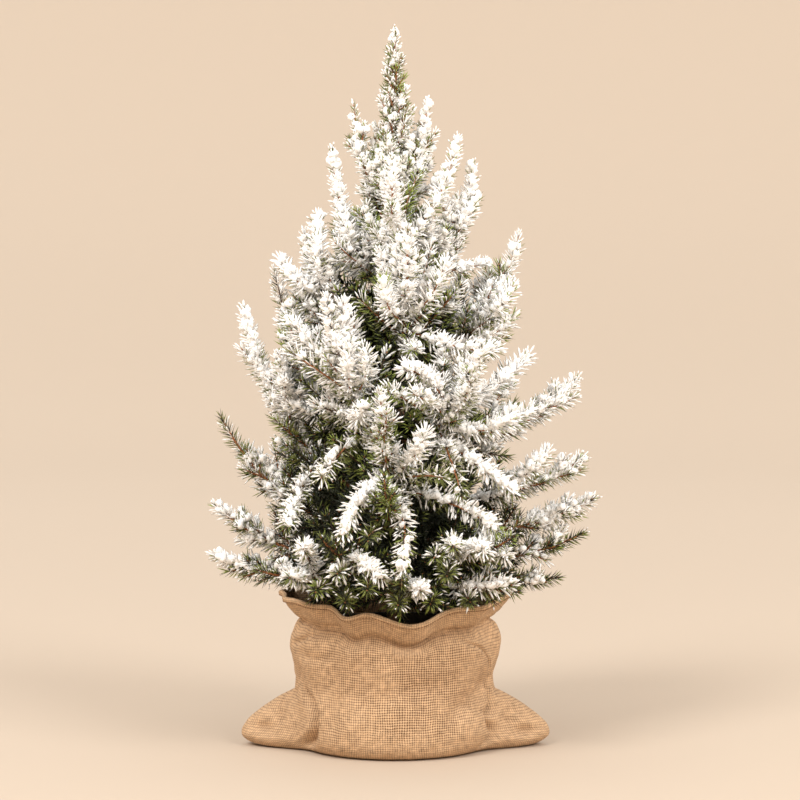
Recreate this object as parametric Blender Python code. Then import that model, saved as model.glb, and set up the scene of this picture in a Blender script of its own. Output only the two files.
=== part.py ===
"""A dwarf Alberta spruce in a nursery pot, stood in a slack jute sack.

Metres, +Z up. The origin is the middle of the sack's flat underside, +X is to the right
and -Y is towards the viewer. The trunk stands on the soil, the boughs leave the trunk in
tiers, and each bough carries one mass of foliage that keeps to its own space.
"""

import math

import bmesh
import bpy
import numpy as np
from mathutils import Vector
from mathutils.bvhtree import BVHTree

# Clearance between two solids that touch, and the edge angle that stays sharp, in degrees
GAP = 0.0003
SHARP_ANGLE = 40.0

# Nursery pot and the soil in it
POT_BASE_Z = 0.0028
POT_TOP_Z = 0.122
POT_BASE_R = 0.070
POT_TOP_R = 0.086
POT_LIP = 0.0025
POT_LIP_HEIGHT = 0.006
POT_WALL = 0.002
POT_SIDES = 32
SOIL_TOP_Z = 0.114
SOIL_DOME = 0.003
SOIL_FLAT_R = 0.024
# Shoulder of the dome: share of its radius, share of its height still to rise
SOIL_SHOULDER = (0.6, 0.3)

# Jute sack: the outer profile runs from the underside to the rim, the inner one back down
SACK_OUTER = (
    (0.060, 0.0),
    (0.088, 0.0),
    (0.100, 0.007),
    (0.1045, 0.024),
    (0.1015, 0.046),
    (0.0985, 0.068),
    (0.1035, 0.092),
    (0.1040, 0.108),
    (0.0975, 0.121),
    (0.1030, 0.131),
    (0.1095, 0.142),
)
SACK_INNER = (
    (0.1075, 0.1445),
    (0.1000, 0.135),
    (0.0925, 0.124),
    (0.0895, 0.114),
    (0.0715, 0.0025),
)
SACK_FLOOR = 0.0025
SACK_SIDES = 56
EAR_REACH = 0.053
EAR_FULL_Z = 0.010
EAR_TOP_Z = 0.056
EAR_SPREAD = 0.26
# How an ear thins out upwards, rounds under, and narrows towards its top
EAR_SLOPE = 1.5
EAR_ROUND = 0.9
EAR_UNDERCUT = 0.12
EAR_NARROWS = 0.45
NECK_Z = 0.119
CUFF_START_Z = 0.117
RIM_Z = 0.142
RIM_LIFT = 0.004
RIM_CORNER_FLARE = 0.004
RIM_CORNER_LIFT = 0.004
CORNER_SHARPNESS = 6
# Dips along the rim: azimuth in degrees, half width in degrees, depth
RIM_DIPS = (
    (-83.0, 17.0, 0.0145),
    (-114.0, 7.0, 0.0080),
    (-40.0, 9.0, 0.0030),
    (48.0, 12.0, 0.0070),
    (88.0, 14.0, 0.0100),
    (127.0, 11.0, 0.0060),
)
# Soft folds below the rim: waves round the sack, turn in radians, depth
FOLDS_START_Z = 0.020
SACK_FOLDS = ((7, 0.4, 0.0010), (11, 2.1, 0.0009), (17, 4.0, 0.0006))

# Trunk
TRUNK_BASE_R = 0.0085
TRUNK_TIP_R = 0.0011
TRUNK_TOP_Z = 0.680
TRUNK_TIP_HEIGHT = 0.004
TRUNK_TAPER = 0.9
TRUNK_SWAY = 0.0035
SWAY_HALF_WAVES = 1.2
SWAY_TO_BACK = 0.6
TRUNK_SIDES = 8
# Heights of the first rings over the foot, and the rings above them
TRUNK_FOOT_RINGS = (0.0, 0.006, 0.014, 0.028)
TRUNK_UPPER_START = 0.050
TRUNK_UPPER_RINGS = 12
FLARE_R = 0.0055
FLARE_HEIGHT = 0.011
FLARE_ROOTS = 5
FLARE_VALLEY = 0.4

# Crown: for each tier the boughs at its front and its back besides one at each side, the
# height of their feet, then reach and tip height at its left and at its right
TIERS = (
    (3, 1, 0.159, 0.181, 0.190, 0.163, 0.168),
    (2, 1, 0.180, 0.180, 0.240, 0.188, 0.212),
    (1, 2, 0.208, 0.174, 0.329, 0.198, 0.247),
    (1, 1, 0.244, 0.152, 0.437, 0.188, 0.288),
    (2, 1, 0.300, 0.120, 0.474, 0.181, 0.367),
    (1, 1, 0.385, 0.090, 0.511, 0.123, 0.509),
    (1, 0, 0.462, 0.063, 0.596, 0.078, 0.582),
    (0, 1, 0.535, 0.041, 0.640, 0.032, 0.645),
)
TREE_TOP_Z = 0.722
TIERS_WITH_BOUGHS = 4
FOOT_STAGGER = 0.004
AZIMUTH_JITTER = 9.0
REACH_JITTER = 0.04
HEIGHT_JITTER = 0.010
CURVE_OUT = 0.62
CURVE_UP = 0.14
BOUGH_FOOT_R = 0.0035
BOUGH_END_R = 0.0021
BOUGH_SHARE = 0.24
BOUGH_SIDES = 5
BOUGH_STEPS = 3
SHARE_STEP = 0.0005

# Space of the crown's body, which only the tips of the boughs stand out of
BODY_WIDE_Z = 0.220
BODY_TOP_Z = 0.660
BODY_R = 0.153
BODY_ROUND = 1.6
BODY_TUCK = 0.35
BODY_TUCK_OVER = 0.090
LEADER_R = 0.020
SPIRE_R = 0.0145
SACK_MOUTH_R = 0.085
ABOVE_RIM = 0.0045
ABOVE_SOIL_Z = 0.124
CELL_GAP = 0.0008
LIMB_GAP = 0.0012
SPACE_STEPS = 18

# Foliage masses
STEM_R = 0.0020
STEM_SHARE = 0.24
STEM_STEPS = 2
CORE_R = 0.028
CORE_SHARE = 0.55
CORE_SIDES = 5
# Places of a core's point and of its rings along the stem, and each ring's share of CORE_R
CORE_SHARES = (0.06, 0.24, 0.54, 0.85)
CORE_BELLY = (0.77, 0.84, 0.48)
CORE_TURN = 0.5
CORE_LUMPS = 0.12
CORE_INTO_TIP = 0.7
CORE_SLIMS = 0.12
REACH_STEP = 0.002
SPRIG_SPACING = 0.013
SPRIG_MOST = 7
SPRIG_FEWEST = 5
SPRIG_TRIES = 5
# Where along the stem the sprigs stand: the first, and the stretch that they share
SPRIG_FROM = 0.06
SPRIG_OVER = 0.76
SPRIG_LENGTH = 0.105
SPRIG_TAPER = 0.5
SPRIG_LENGTHS = (0.85, 1.15)
SPRIG_LEAST = 0.022
SPRIG_SHORTENS = 0.004
SPRIG_SUNK = 0.004
SPRIG_ANGLE = 54.0
SPRIG_ANGLE_JITTER = 9.0
SPRIG_ROLL_JITTER = 0.5
SPRIG_LIFT = 0.25
TWIG_R = 0.0016
TWIG_SIDES = 4
GOLDEN_TURN = math.radians(137.5)
SPRIG_LONG = 0.058
SPRAY_SIZES = (0.0165, 0.0130, 0.0100, 0.0078)
SPRAY_LEAST_R = 0.006
SPRAY_NARROWS = 0.0005
TIP_SPRAY_R = 0.0120
SPRAY_CORE_R = 0.0075
SPRAY_CORE_SHARE = 0.6
SPRAY_SWEEP = 0.0060
# Rings of needles along a sprig: place along it, needle length as a share
SPRIG_RINGS = ((0.28, 0.95), (0.52, 1.0), (0.76, 0.80))
SHORT_SPRIG_RINGS = ((0.30, 1.0), (0.60, 0.75))
# Where a spray is tested against its space: points of its twig, and rings with their widths
PROBED_TWIG = (0.1, 0.9, 7)
PROBED_RINGS = ((0.26, 1.0), (0.42, 1.0), (0.58, 1.0), (0.74, 0.8), (0.90, 0.8))
PROBED_SIDES = 8
TIP_SPRAY = 0.042
LEADER_BASE_Z = 0.562
LEADER_WALL = 0.0052
# Shares of the wall at even heights up the core, and at its neck
LEADER_BELLY = (0.7, 1.0, 1.0, 0.9)
LEADER_NECK = 0.6
LEADER_NECK_HEIGHT = 0.008
LEADER_CORE_TOP_Z = 0.698
LEADER_SPRIGS = 15
LEADER_FIRST_SPRIG = 0.006
LEADER_LAST_SPRIG = 0.010
LEADER_LENGTH = 0.040
LEADER_LENGTHENS = 0.004
LEADER_LENGTH_JITTER = 0.003
LEADER_LEAN = (42.0, 12.0)
LEADER_PROBE = 0.3
LEADER_SHORTENS = 0.003
LEADER_SPRAY_R = 0.0105
LEADER_LEAST = 0.018
TRUNK_STEP = 0.002
MERGE_DISTANCE = 1e-6
MOST_ATTEMPTS = 6
SEED = 41
# What is added to the seed for the masses, for the leader and for each new attempt
MASS_SEED = 100
LEADER_SEED = 900
ATTEMPT_SEED = 1000

JUTE = (0.66, 0.47, 0.29)
POT_BLACK = (0.03, 0.03, 0.032)
SOIL_BROWN = (0.07, 0.045, 0.03)
BARK = (0.30, 0.17, 0.09)
SNOWY_NEEDLES = (0.62, 0.66, 0.56)


def clear_scene():
    for obj in list(bpy.data.objects):
        bpy.data.objects.remove(obj)


def material(name, colour, roughness):
    mat = bpy.data.materials.get(name) or bpy.data.materials.new(name)
    mat.use_nodes = True
    shader = mat.node_tree.nodes["Principled BSDF"]
    shader.inputs["Base Color"].default_value = (*colour, 1.0)
    shader.inputs["Roughness"].default_value = roughness
    shader.inputs["Metallic"].default_value = 0.0
    mat.diffuse_color = (*colour, 1.0)
    return mat


def loft(name, rings, mat=None, smooth=False):
    """One closed object skinned over the rings; a ring of one point closes an end to a tip."""
    shape = bmesh.new()
    loops = [[shape.verts.new(Vector(p)) for p in ring] for ring in rings]
    for low, high in zip(loops[:-1], loops[1:]):
        count = max(len(low), len(high))
        for k in range(count):
            a, b = low[k % len(low)], low[(k + 1) % len(low)]
            c, d = high[(k + 1) % len(high)], high[k % len(high)]
            corners = [v for i, v in enumerate((a, b, c, d)) if v not in (a, b, c, d)[:i]]
            shape.faces.new(corners)
    if len(loops[0]) > 2:
        shape.faces.new(list(reversed(loops[0])))
    if len(loops[-1]) > 2:
        shape.faces.new(loops[-1])
    bmesh.ops.recalc_face_normals(shape, faces=shape.faces)
    mesh = bpy.data.meshes.new(name)
    shape.to_mesh(mesh)
    shape.free()
    if smooth:
        mesh.shade_smooth()
        mesh.set_sharp_from_angle(angle=math.radians(SHARP_ANGLE))
    if mat:
        mesh.materials.append(mat)
    obj = bpy.data.objects.new(name, mesh)
    bpy.context.scene.collection.objects.link(obj)
    return obj


def round_ring(radius, height, sides):
    turns = [2 * math.pi * k / sides for k in range(sides)]
    return [(radius * math.cos(a), radius * math.sin(a), height) for a in turns]


def frame_at(direction):
    """Two unit vectors square to a direction: one level, one as upright as it can be."""
    along = np.asarray(direction) / np.linalg.norm(direction)
    level = np.cross(along, (0.0, 0.0, 1.0))
    if np.linalg.norm(level) < 1e-3:
        level = np.array((0.0, 1.0, 0.0))
    level = level / np.linalg.norm(level)
    return along, level, np.cross(level, along)


def ring_about(centre, direction, radius, sides, turn=0.0):
    _, level, upright = frame_at(direction)
    angles = [turn + 2 * math.pi * k / sides for k in range(sides)]
    return [centre + radius * (math.cos(a) * level + math.sin(a) * upright) for a in angles]


# Pot, soil and sack


def build_pot():
    outer = [
        (POT_BASE_R, POT_BASE_Z),
        (POT_TOP_R, POT_TOP_Z - POT_LIP_HEIGHT),
        (POT_TOP_R + POT_LIP, POT_TOP_Z - POT_LIP_HEIGHT),
        (POT_TOP_R + POT_LIP, POT_TOP_Z),
    ]
    inner = [
        (POT_TOP_R - POT_WALL, POT_TOP_Z),
        (POT_BASE_R - POT_WALL, POT_BASE_Z + POT_WALL),
    ]
    rings = [round_ring(r, z, POT_SIDES) for r, z in outer + inner]
    return loft("nursery_pot", rings, material("pot_plastic", POT_BLACK, 0.45), smooth=True)


def build_soil():
    """The filling of the pot, with a low dome that is flat where the trunk stands."""
    foot_z = POT_BASE_Z + POT_WALL + GAP
    slope = (POT_TOP_R - POT_BASE_R) / (POT_TOP_Z - POT_LIP_HEIGHT - POT_BASE_Z)
    foot_r = POT_BASE_R - POT_WALL - 2 * GAP
    edge_z = SOIL_TOP_Z - SOIL_DOME
    edge_r = foot_r + slope * (edge_z - foot_z) - 2 * GAP
    shoulder = (SOIL_SHOULDER[0] * edge_r, SOIL_TOP_Z - SOIL_SHOULDER[1] * SOIL_DOME)
    profile = [(foot_r, foot_z), (edge_r, edge_z), shoulder, (SOIL_FLAT_R, SOIL_TOP_Z)]
    rings = [round_ring(r, z, POT_SIDES) for r, z in profile]
    return loft("soil", rings, material("soil_brown", SOIL_BROWN, 0.95), smooth=True)


def smooth_step(low, high, value):
    t = min(1.0, max(0.0, (value - low) / (high - low)))
    return t * t * (3 - 2 * t)


def ear_push(turn, height):
    """How far the sack's bottom corner stands out at this azimuth and height."""
    if height > EAR_TOP_Z:
        return 0.0
    if height > EAR_FULL_Z:
        rise = (height - EAR_FULL_Z) / (EAR_TOP_Z - EAR_FULL_Z)
        fullness = (1 - rise**EAR_SLOPE) ** EAR_ROUND
    else:
        rise = 0.0
        fullness = 1 - EAR_UNDERCUT * ((EAR_FULL_Z - height) / EAR_FULL_Z) ** 2
    spread = EAR_SPREAD * (1 - EAR_NARROWS * rise)
    away = math.atan2(abs(math.sin(turn)), abs(math.cos(turn)))
    return EAR_REACH * fullness * math.exp(-((away / spread) ** 2))


def rim_dip(turn):
    total = 0.0
    for azimuth, width, depth in RIM_DIPS:
        away = math.degrees(turn) - azimuth
        away = (away + 180) % 360 - 180
        total += depth * math.exp(-((away / width) ** 2))
    return total


def corner(turn):
    """1 at the sack's two side seams, falling off fast to 0 between them."""
    return abs(math.cos(turn)) ** CORNER_SHARPNESS


def rim_rise(turn):
    """How far the rim stands above its mean height at an azimuth."""
    return RIM_CORNER_LIFT * corner(turn) + RIM_LIFT - rim_dip(turn)


def sack_point(turn, radius, height, inner=False):
    """A point of the sack: its profile, pushed out at the two ears, folded and dipped."""
    rim = smooth_step(CUFF_START_Z, RIM_Z, height)
    if not inner:
        base = min(1.0, radius / SACK_OUTER[1][0]) ** 2
        radius += base * ear_push(turn, height)
        fold = smooth_step(FOLDS_START_Z, NECK_Z, height)
        radius += fold * sum(d * math.cos(n * turn + p) for n, p, d in SACK_FOLDS)
    radius += rim * RIM_CORNER_FLARE * corner(turn)
    height += rim * rim_rise(turn)
    return (radius * math.cos(turn), radius * math.sin(turn), height)


def build_sack():
    """The sack as one thick shell: outside it follows the slack jute, inside it fits the pot."""
    turns = [2 * math.pi * k / SACK_SIDES for k in range(SACK_SIDES)]
    rings = [[(0.0, 0.0, 0.0)]]
    rings += [[sack_point(a, r, z) for a in turns] for r, z in SACK_OUTER]
    rings += [[sack_point(a, r, z, inner=True) for a in turns] for r, z in SACK_INNER]
    rings.append([(0.0, 0.0, SACK_FLOOR)])
    return loft("sack", rings, material("jute", JUTE, 0.9), smooth=True)


# Trunk and boughs


def trunk_axis(height):
    """The middle of the trunk at a height: upright, with one slight sway."""
    share = (height - SOIL_TOP_Z) / (TRUNK_TOP_Z - SOIL_TOP_Z)
    sway = TRUNK_SWAY * math.sin(math.pi * SWAY_HALF_WAVES * share)
    return np.array((sway, SWAY_TO_BACK * sway, height))


def trunk_radius(height):
    share = max(0.0, 1 - (height - SOIL_TOP_Z) / (TRUNK_TOP_Z - SOIL_TOP_Z))
    return TRUNK_TIP_R + (TRUNK_BASE_R - TRUNK_TIP_R) * share**TRUNK_TAPER


def trunk_ring(height, extra=0.0):
    centre = trunk_axis(height)
    flare = FLARE_R * math.exp(-(height - SOIL_TOP_Z) / FLARE_HEIGHT)
    ring = []
    for k in range(TRUNK_SIDES):
        turn = 2 * math.pi * k / TRUNK_SIDES
        root = flare * (1 - FLARE_VALLEY * (1 - math.cos(FLARE_ROOTS * turn)))
        radius = trunk_radius(height) + root + extra
        ring.append(centre + radius * np.array((math.cos(turn), math.sin(turn), 0.0)))
    return ring


def build_trunk():
    foot = SOIL_TOP_Z + GAP
    heights = [foot + rise for rise in TRUNK_FOOT_RINGS]
    top = TRUNK_TOP_Z - TRUNK_TIP_HEIGHT
    heights += list(np.linspace(foot + TRUNK_UPPER_START, top, TRUNK_UPPER_RINGS))
    rings = [trunk_ring(z) for z in heights] + [[trunk_axis(TRUNK_TOP_Z)]]
    return loft("trunk", rings, material("bark", BARK, 0.85), smooth=True)


def tier_azimuths(front, back):
    """Right and left first, then the rest spread evenly over the front and over the back."""
    turns = [0.0, 180.0]
    turns += [-180.0 * (k + 1) / (front + 1) for k in range(front)]
    turns += [180.0 * (k + 1) / (back + 1) for k in range(back)]
    return turns


def plan_boughs():
    """Each bough as (tier, foot, bend, tip): a curve that leaves level and turns up."""
    rng = np.random.default_rng(SEED)
    plan = []
    for tier, (front, back, foot_z, left_reach, left_tip, right_reach, right_tip) in enumerate(TIERS):
        for place, azimuth in enumerate(tier_azimuths(front, back)):
            shake = rng.uniform(-1, 1, 3)
            if place > 1:
                azimuth += AZIMUTH_JITTER * shake[0]
            else:
                shake *= 0
            turn = math.radians(azimuth)
            right = 0.5 + 0.5 * math.cos(turn)
            reach = (left_reach + (right_reach - left_reach) * right) * (1 + REACH_JITTER * shake[1])
            tip_z = left_tip + (right_tip - left_tip) * right + HEIGHT_JITTER * shake[2]
            foot = trunk_axis(foot_z + (FOOT_STAGGER if place in (2, 4) else -FOOT_STAGGER))
            out = np.array((math.cos(turn), math.sin(turn), 0.0))
            tip = np.array((0.0, 0.0, tip_z)) + reach * out
            bend = foot + CURVE_OUT * reach * out
            bend[2] += CURVE_UP * (tip_z - foot[2])
            plan.append((tier, foot, bend, tip))
    return plan


def along_bough(bough, share):
    _, foot, bend, tip = bough
    return (1 - share) ** 2 * foot + 2 * share * (1 - share) * bend + share**2 * tip


def heading(bough, share):
    _, foot, bend, tip = bough
    return 2 * (1 - share) * (bend - foot) + 2 * share * (tip - bend)


def foot_share(bough):
    """The share along a bough at which its upright end just clears the trunk."""
    foot = bough[1]
    out = (bough[3] - foot) * (1, 1, 0)
    out = out / np.linalg.norm(out)
    clearance = GAP + max((point - foot).dot(out) for point in trunk_ring(foot[2]))
    share = 0.0
    while (along_bough(bough, share) - foot).dot(out) < clearance:
        share += SHARE_STEP
    return share


def share_from_tip(bough, distance):
    """The share along a bough that is this far from its tip."""
    return 1 - distance / np.linalg.norm(heading(bough, 1.0))


def limb_rings(bough, start, end, radii, sides, steps):
    """Rings from start to end along the bough, the first one upright to face the trunk."""
    shares = np.linspace(start, end, steps + 1)
    rings = []
    for k, share in enumerate(shares):
        direction = heading(bough, share)
        if k == 0:
            direction = direction * (1, 1, 0)
        radius = radii[0] + (radii[1] - radii[0]) * k / steps
        rings.append(ring_about(along_bough(bough, share), direction, radius, sides))
    return rings


def build_bough(number, bough):
    start = foot_share(bough)
    radii = (BOUGH_FOOT_R, BOUGH_END_R)
    rings = limb_rings(bough, start, BOUGH_SHARE, radii, BOUGH_SIDES, BOUGH_STEPS)
    return loft(f"bough_{number:02d}", rings, material("bark", BARK, 0.85), smooth=True)


# Space that each mass keeps to


def body_radius(height):
    """Radius of the crown's body: a rounded cone that tucks in above the sack."""
    rise = np.clip((height - BODY_WIDE_Z) / (BODY_TOP_Z - BODY_WIDE_Z), 0.0, 1.0)
    tuck = np.clip((BODY_WIDE_Z - height) / BODY_TUCK_OVER, 0.0, 1.0)
    return (LEADER_R + BODY_R * (1 - rise**BODY_ROUND)) * (1 - BODY_TUCK * tuck**2)


def nearest(points, line):
    gaps = np.linalg.norm(points[:, None, :] - line[None, :, :], axis=2)
    return gaps.min(axis=1)


class Space:
    """Gives each point to the mass whose bough or stem is nearest, within the crown."""

    def __init__(self, limbs, boughs):
        self.limbs = limbs
        self.boughs = boughs
        self.trunk = np.array([trunk_axis(z) for z in np.arange(SOIL_TOP_Z, TRUNK_TOP_Z, TRUNK_STEP)])
        self.trunk_r = np.array([trunk_radius(p[2]) for p in self.trunk])

    def room(self, index, points):
        """How far each point is from the trunk and from its own bough, less the gap to keep."""
        gaps = np.linalg.norm(points[:, None, :] - self.trunk[None, :, :], axis=2)
        room = (gaps - self.trunk_r).min(axis=1)
        if self.boughs[index] is not None:
            room = np.minimum(room, nearest(points, self.boughs[index]) - BOUGH_FOOT_R)
        return room - LIMB_GAP

    def inside(self, index, points, beside_trunk=False):
        own = nearest(points, self.limbs[index])
        others = [nearest(points, line) for k, line in enumerate(self.limbs) if k != index]
        kept = own + CELL_GAP < np.min(others, axis=0)
        away = np.linalg.norm(points[:, :2], axis=1)
        kept &= (away < body_radius(points[:, 2])) | (own < SPIRE_R)
        turns = np.arctan2(points[:, 1], points[:, 0])
        rim = np.array([RIM_Z + rim_rise(turn) for turn in turns]) + ABOVE_RIM
        kept &= points[:, 2] > np.where(away > SACK_MOUTH_R, rim, ABOVE_SOIL_Z)
        return kept if beside_trunk else kept & (self.room(index, points) > 0)

    def holds(self, index, points, beside_trunk=False):
        return bool(self.inside(index, points, beside_trunk).all())

    def reach(self, index, origin, out, most):
        """How far the space goes on from a point in a direction."""
        steps = np.arange(0.0, most, REACH_STEP)
        kept = self.inside(index, origin + steps[:, None] * out)
        return float(steps[np.argmin(kept)] if not kept.all() else most)


# Foliage


def stem_start(tier, bough):
    """Where the mass takes over from its bough, or from the trunk where there is no bough."""
    if tier < TIERS_WITH_BOUGHS:
        step = GAP / np.linalg.norm(heading(bough, BOUGH_SHARE))
        return BOUGH_SHARE + step
    return foot_share(bough)


def sprig(name, root, tip, radius, turn):
    """A twig with its spray: a slim core whose needles stand out in crossed pairs, swept forward."""
    length = np.linalg.norm(tip - root)
    along, level, upright = frame_at(tip - root)
    rings = [ring_about(root, along, TWIG_R, TWIG_SIDES, turn)]
    for k, (place, width) in enumerate(SPRIG_RINGS if length > SPRIG_LONG else SHORT_SPRIG_RINGS):
        ring = []
        for side in range(TWIG_SIDES):
            angle = turn + 2 * math.pi * side / TWIG_SIDES
            out = math.cos(angle) * level + math.sin(angle) * upright
            needle = side % 2 == k % 2
            reach = radius * width
            if not needle:
                reach = min(SPRAY_CORE_R, SPRAY_CORE_SHARE * reach)
            sweep = SPRAY_SWEEP if needle else 0.0
            ring.append(root + along * (place * length + sweep) + out * reach)
        rings.append(ring)
    rings.append([tip])
    return loft(name, rings)


def spray_points(root, tip, radius):
    """The points that a spray reaches, to test against its space."""
    along, level, upright = frame_at(tip - root)
    turns = np.linspace(0, 2 * math.pi, PROBED_SIDES, endpoint=False)
    circle = np.cos(turns)[:, None] * level + np.sin(turns)[:, None] * upright
    points = [[tip], root + np.linspace(*PROBED_TWIG)[:, None] * (tip - root)]
    for place, width in PROBED_RINGS:
        points.append(root + (tip - root) * place + radius * width * circle)
    return np.concatenate(points)


def widest_spray(root, tip, radius, space, index):
    """The radius at which a spray between two given points still keeps to its space."""
    while radius > SPRAY_LEAST_R and not space.holds(index, spray_points(root, tip, radius)[1:]):
        radius -= SPRAY_NARROWS
    return radius


def core(name, bough, start, space, index, slimmer):
    """A lumpy body round the stem that the sprigs stand out of, as wide as its space allows."""
    end = share_from_tip(bough, CORE_INTO_TIP * TIP_SPRAY)
    rings = [[along_bough(bough, start + CORE_SHARES[0] * (end - start))]]
    for k, place in enumerate(CORE_SHARES[1:]):
        share = start + (end - start) * place
        centre = along_bough(bough, share)
        most = slimmer * CORE_R * CORE_BELLY[k]
        room = space.room(index, centre[None, :])[0]
        ring = []
        for point in ring_about(centre, heading(bough, share), 1.0, CORE_SIDES, CORE_TURN * (k % 2)):
            free = space.reach(index, centre, point - centre, 2 * CORE_R)
            reach = min(most, CORE_SHARE * free, max(room, 0.0))
            reach *= 1 + CORE_LUMPS * math.sin(7 * k + 3 * len(ring))
            ring.append(centre + max(reach, STEM_R) * (point - centre))
        rings.append(ring)
    rings.append([along_bough(bough, end)])
    return loft(name, rings)


def longest_sprig(foot, out, length, radius, space, index):
    """The greatest length, up to the one given, at which a spray keeps to its space, or none."""
    while length > SPRIG_LEAST and not space.holds(index, spray_points(foot, foot + out * length, radius)):
        length -= SPRIG_SHORTENS
    return length if length > SPRIG_LEAST else 0.0


def grow_sprigs(bough, start, space, index, rng, fewer, body):
    """The sprigs of a mass, each a golden turn on from the last and as long as space allows."""
    surface = BVHTree.FromObject(body, bpy.context.evaluated_depsgraph_get())
    span = np.linalg.norm(bough[3] - along_bough(bough, start))
    wanted = min(SPRIG_MOST, max(SPRIG_FEWEST, round(span / SPRIG_SPACING))) - fewer
    grown = []
    for attempt in range(SPRIG_TRIES * wanted):
        if len(grown) == wanted:
            break
        place = SPRIG_FROM + SPRIG_OVER * ((attempt % wanted) + 0.5) / wanted
        share = start + (1 - start) * place
        root = along_bough(bough, share)
        along, level, upright = frame_at(heading(bough, share))
        roll = attempt * GOLDEN_TURN + rng.uniform(-SPRIG_ROLL_JITTER, SPRIG_ROLL_JITTER)
        side = math.cos(roll) * level + math.sin(roll) * upright
        lean = math.radians(SPRIG_ANGLE + rng.uniform(-SPRIG_ANGLE_JITTER, SPRIG_ANGLE_JITTER))
        out = math.cos(lean) * along + math.sin(lean) * side
        out = out + SPRIG_LIFT * np.array((0.0, 0.0, 1.0))
        out = out / np.linalg.norm(out)
        taper = 1 - SPRIG_TAPER * (share - start) / (1 - start)
        length = SPRIG_LENGTH * taper * rng.uniform(*SPRIG_LENGTHS)
        depth = surface.ray_cast(Vector(root), Vector(out))[3] or 0.0
        foot = root + out * max(0.0, depth - SPRIG_SUNK)
        best = (SPRIG_LEAST, 0.0)
        for radius in SPRAY_SIZES:
            free = longest_sprig(foot, out, length - depth, radius, space, index)
            best = max(best, (free, radius), key=lambda fit: fit[0] * fit[1])
        if best[1]:
            grown.append((foot, foot + out * best[0], best[1]))
    return grown


def join(name, base, pieces, mat):
    """One Boolean union of the pieces onto the base, applied, keeping the one largest shell."""
    group = bpy.data.collections.new(f"{name}_pieces")
    bpy.context.scene.collection.children.link(group)
    for piece in pieces:
        bpy.context.scene.collection.objects.unlink(piece)
        group.objects.link(piece)
    union = base.modifiers.new("union", "BOOLEAN")
    union.operation = "UNION"
    union.operand_type = "COLLECTION"
    union.collection = group
    union.solver = "EXACT"
    graph = bpy.context.evaluated_depsgraph_get()
    joined = bpy.data.meshes.new_from_object(base.evaluated_get(graph))
    base.modifiers.clear()
    base.data = joined
    for piece in pieces:
        bpy.data.objects.remove(piece)
    bpy.data.collections.remove(group)
    sound = keep_largest_shell(joined)
    joined.materials.clear()
    joined.materials.append(mat)
    base.name = name
    return base if sound else None


def keep_largest_shell(mesh):
    """Drops loose scraps and the walls of sealed hollows; true if what is left is sound."""
    shape = bmesh.new()
    shape.from_mesh(mesh)
    bmesh.ops.triangulate(shape, faces=shape.faces)
    bmesh.ops.remove_doubles(shape, verts=shape.verts, dist=MERGE_DISTANCE)
    bmesh.ops.dissolve_degenerate(shape, edges=shape.edges, dist=MERGE_DISTANCE)
    bmesh.ops.triangulate(shape, faces=shape.faces)
    shells, seen = [], set()
    for face in shape.faces:
        if face in seen:
            continue
        shell, todo = [], [face]
        seen.add(face)
        while todo:
            here = todo.pop()
            shell.append(here)
            for edge in here.edges:
                if len(edge.link_faces) != 2:
                    continue
                for other in edge.link_faces:
                    if other not in seen:
                        seen.add(other)
                        todo.append(other)
        shells.append(shell)
    shells.sort(key=len)
    scraps = [face for shell in shells[:-1] for face in shell]
    bmesh.ops.delete(shape, geom=scraps, context="FACES")
    loose = [v for v in shape.verts if not v.link_faces]
    bmesh.ops.delete(shape, geom=loose, context="VERTS")
    sound = all(edge.is_manifold for edge in shape.edges) and not crosses_itself(shape)
    shape.to_mesh(mesh)
    shape.free()
    return sound


def crosses_itself(shape):
    """Whether two faces that share no corner cut through each other."""
    shape.faces.index_update()
    shape.faces.ensure_lookup_table()
    tree = BVHTree.FromBMesh(shape)
    for a, b in tree.overlap(tree):
        if a < b and not set(shape.faces[a].verts) & set(shape.faces[b].verts):
            return True
    return False


def until_sound(build, name, *inputs):
    """Builds a mass, anew with other chances and then with fewer twigs while it isn't sound."""
    for attempt in range(MOST_ATTEMPTS):
        made = build(name, attempt, max(0, attempt - 1), *inputs)
        if made:
            return made
        bpy.data.objects.remove(bpy.data.objects[name])
    raise RuntimeError(f"{name} did not come out sound")


def build_mass(name, attempt, fewer, bough, space, index):
    """A mass of foliage: stem, core, twigs and their sprays, fused into one solid."""
    rng = np.random.default_rng(SEED + MASS_SEED + index + ATTEMPT_SEED * attempt)
    start = stem_start(bough[0], bough)
    body = core(f"{name}_core", bough, start, space, index, 1 - CORE_SLIMS * attempt)
    end = start + STEM_SHARE * (1 - start)
    rings = limb_rings(bough, start, end, (STEM_R, STEM_R), TWIG_SIDES, STEM_STEPS)
    if bough[0] < TIERS_WITH_BOUGHS:
        rings[0] = ring_about(along_bough(bough, start), heading(bough, start), STEM_R, TWIG_SIDES)
    base = loft(name, rings)
    pieces = [body]
    for k, (root, tip, radius) in enumerate(grow_sprigs(bough, start, space, index, rng, fewer, body)):
        pieces.append(sprig(f"{name}_sprig_{k}", root, tip, radius, rng.uniform(0, 2)))
    foot = along_bough(bough, share_from_tip(bough, TIP_SPRAY))
    radius = widest_spray(foot, bough[3], TIP_SPRAY_R, space, index)
    pieces.append(sprig(f"{name}_tip", foot, bough[3], radius, 0.4))
    return join(name, base, pieces, material("snowy_needles", SNOWY_NEEDLES, 0.9))


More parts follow.
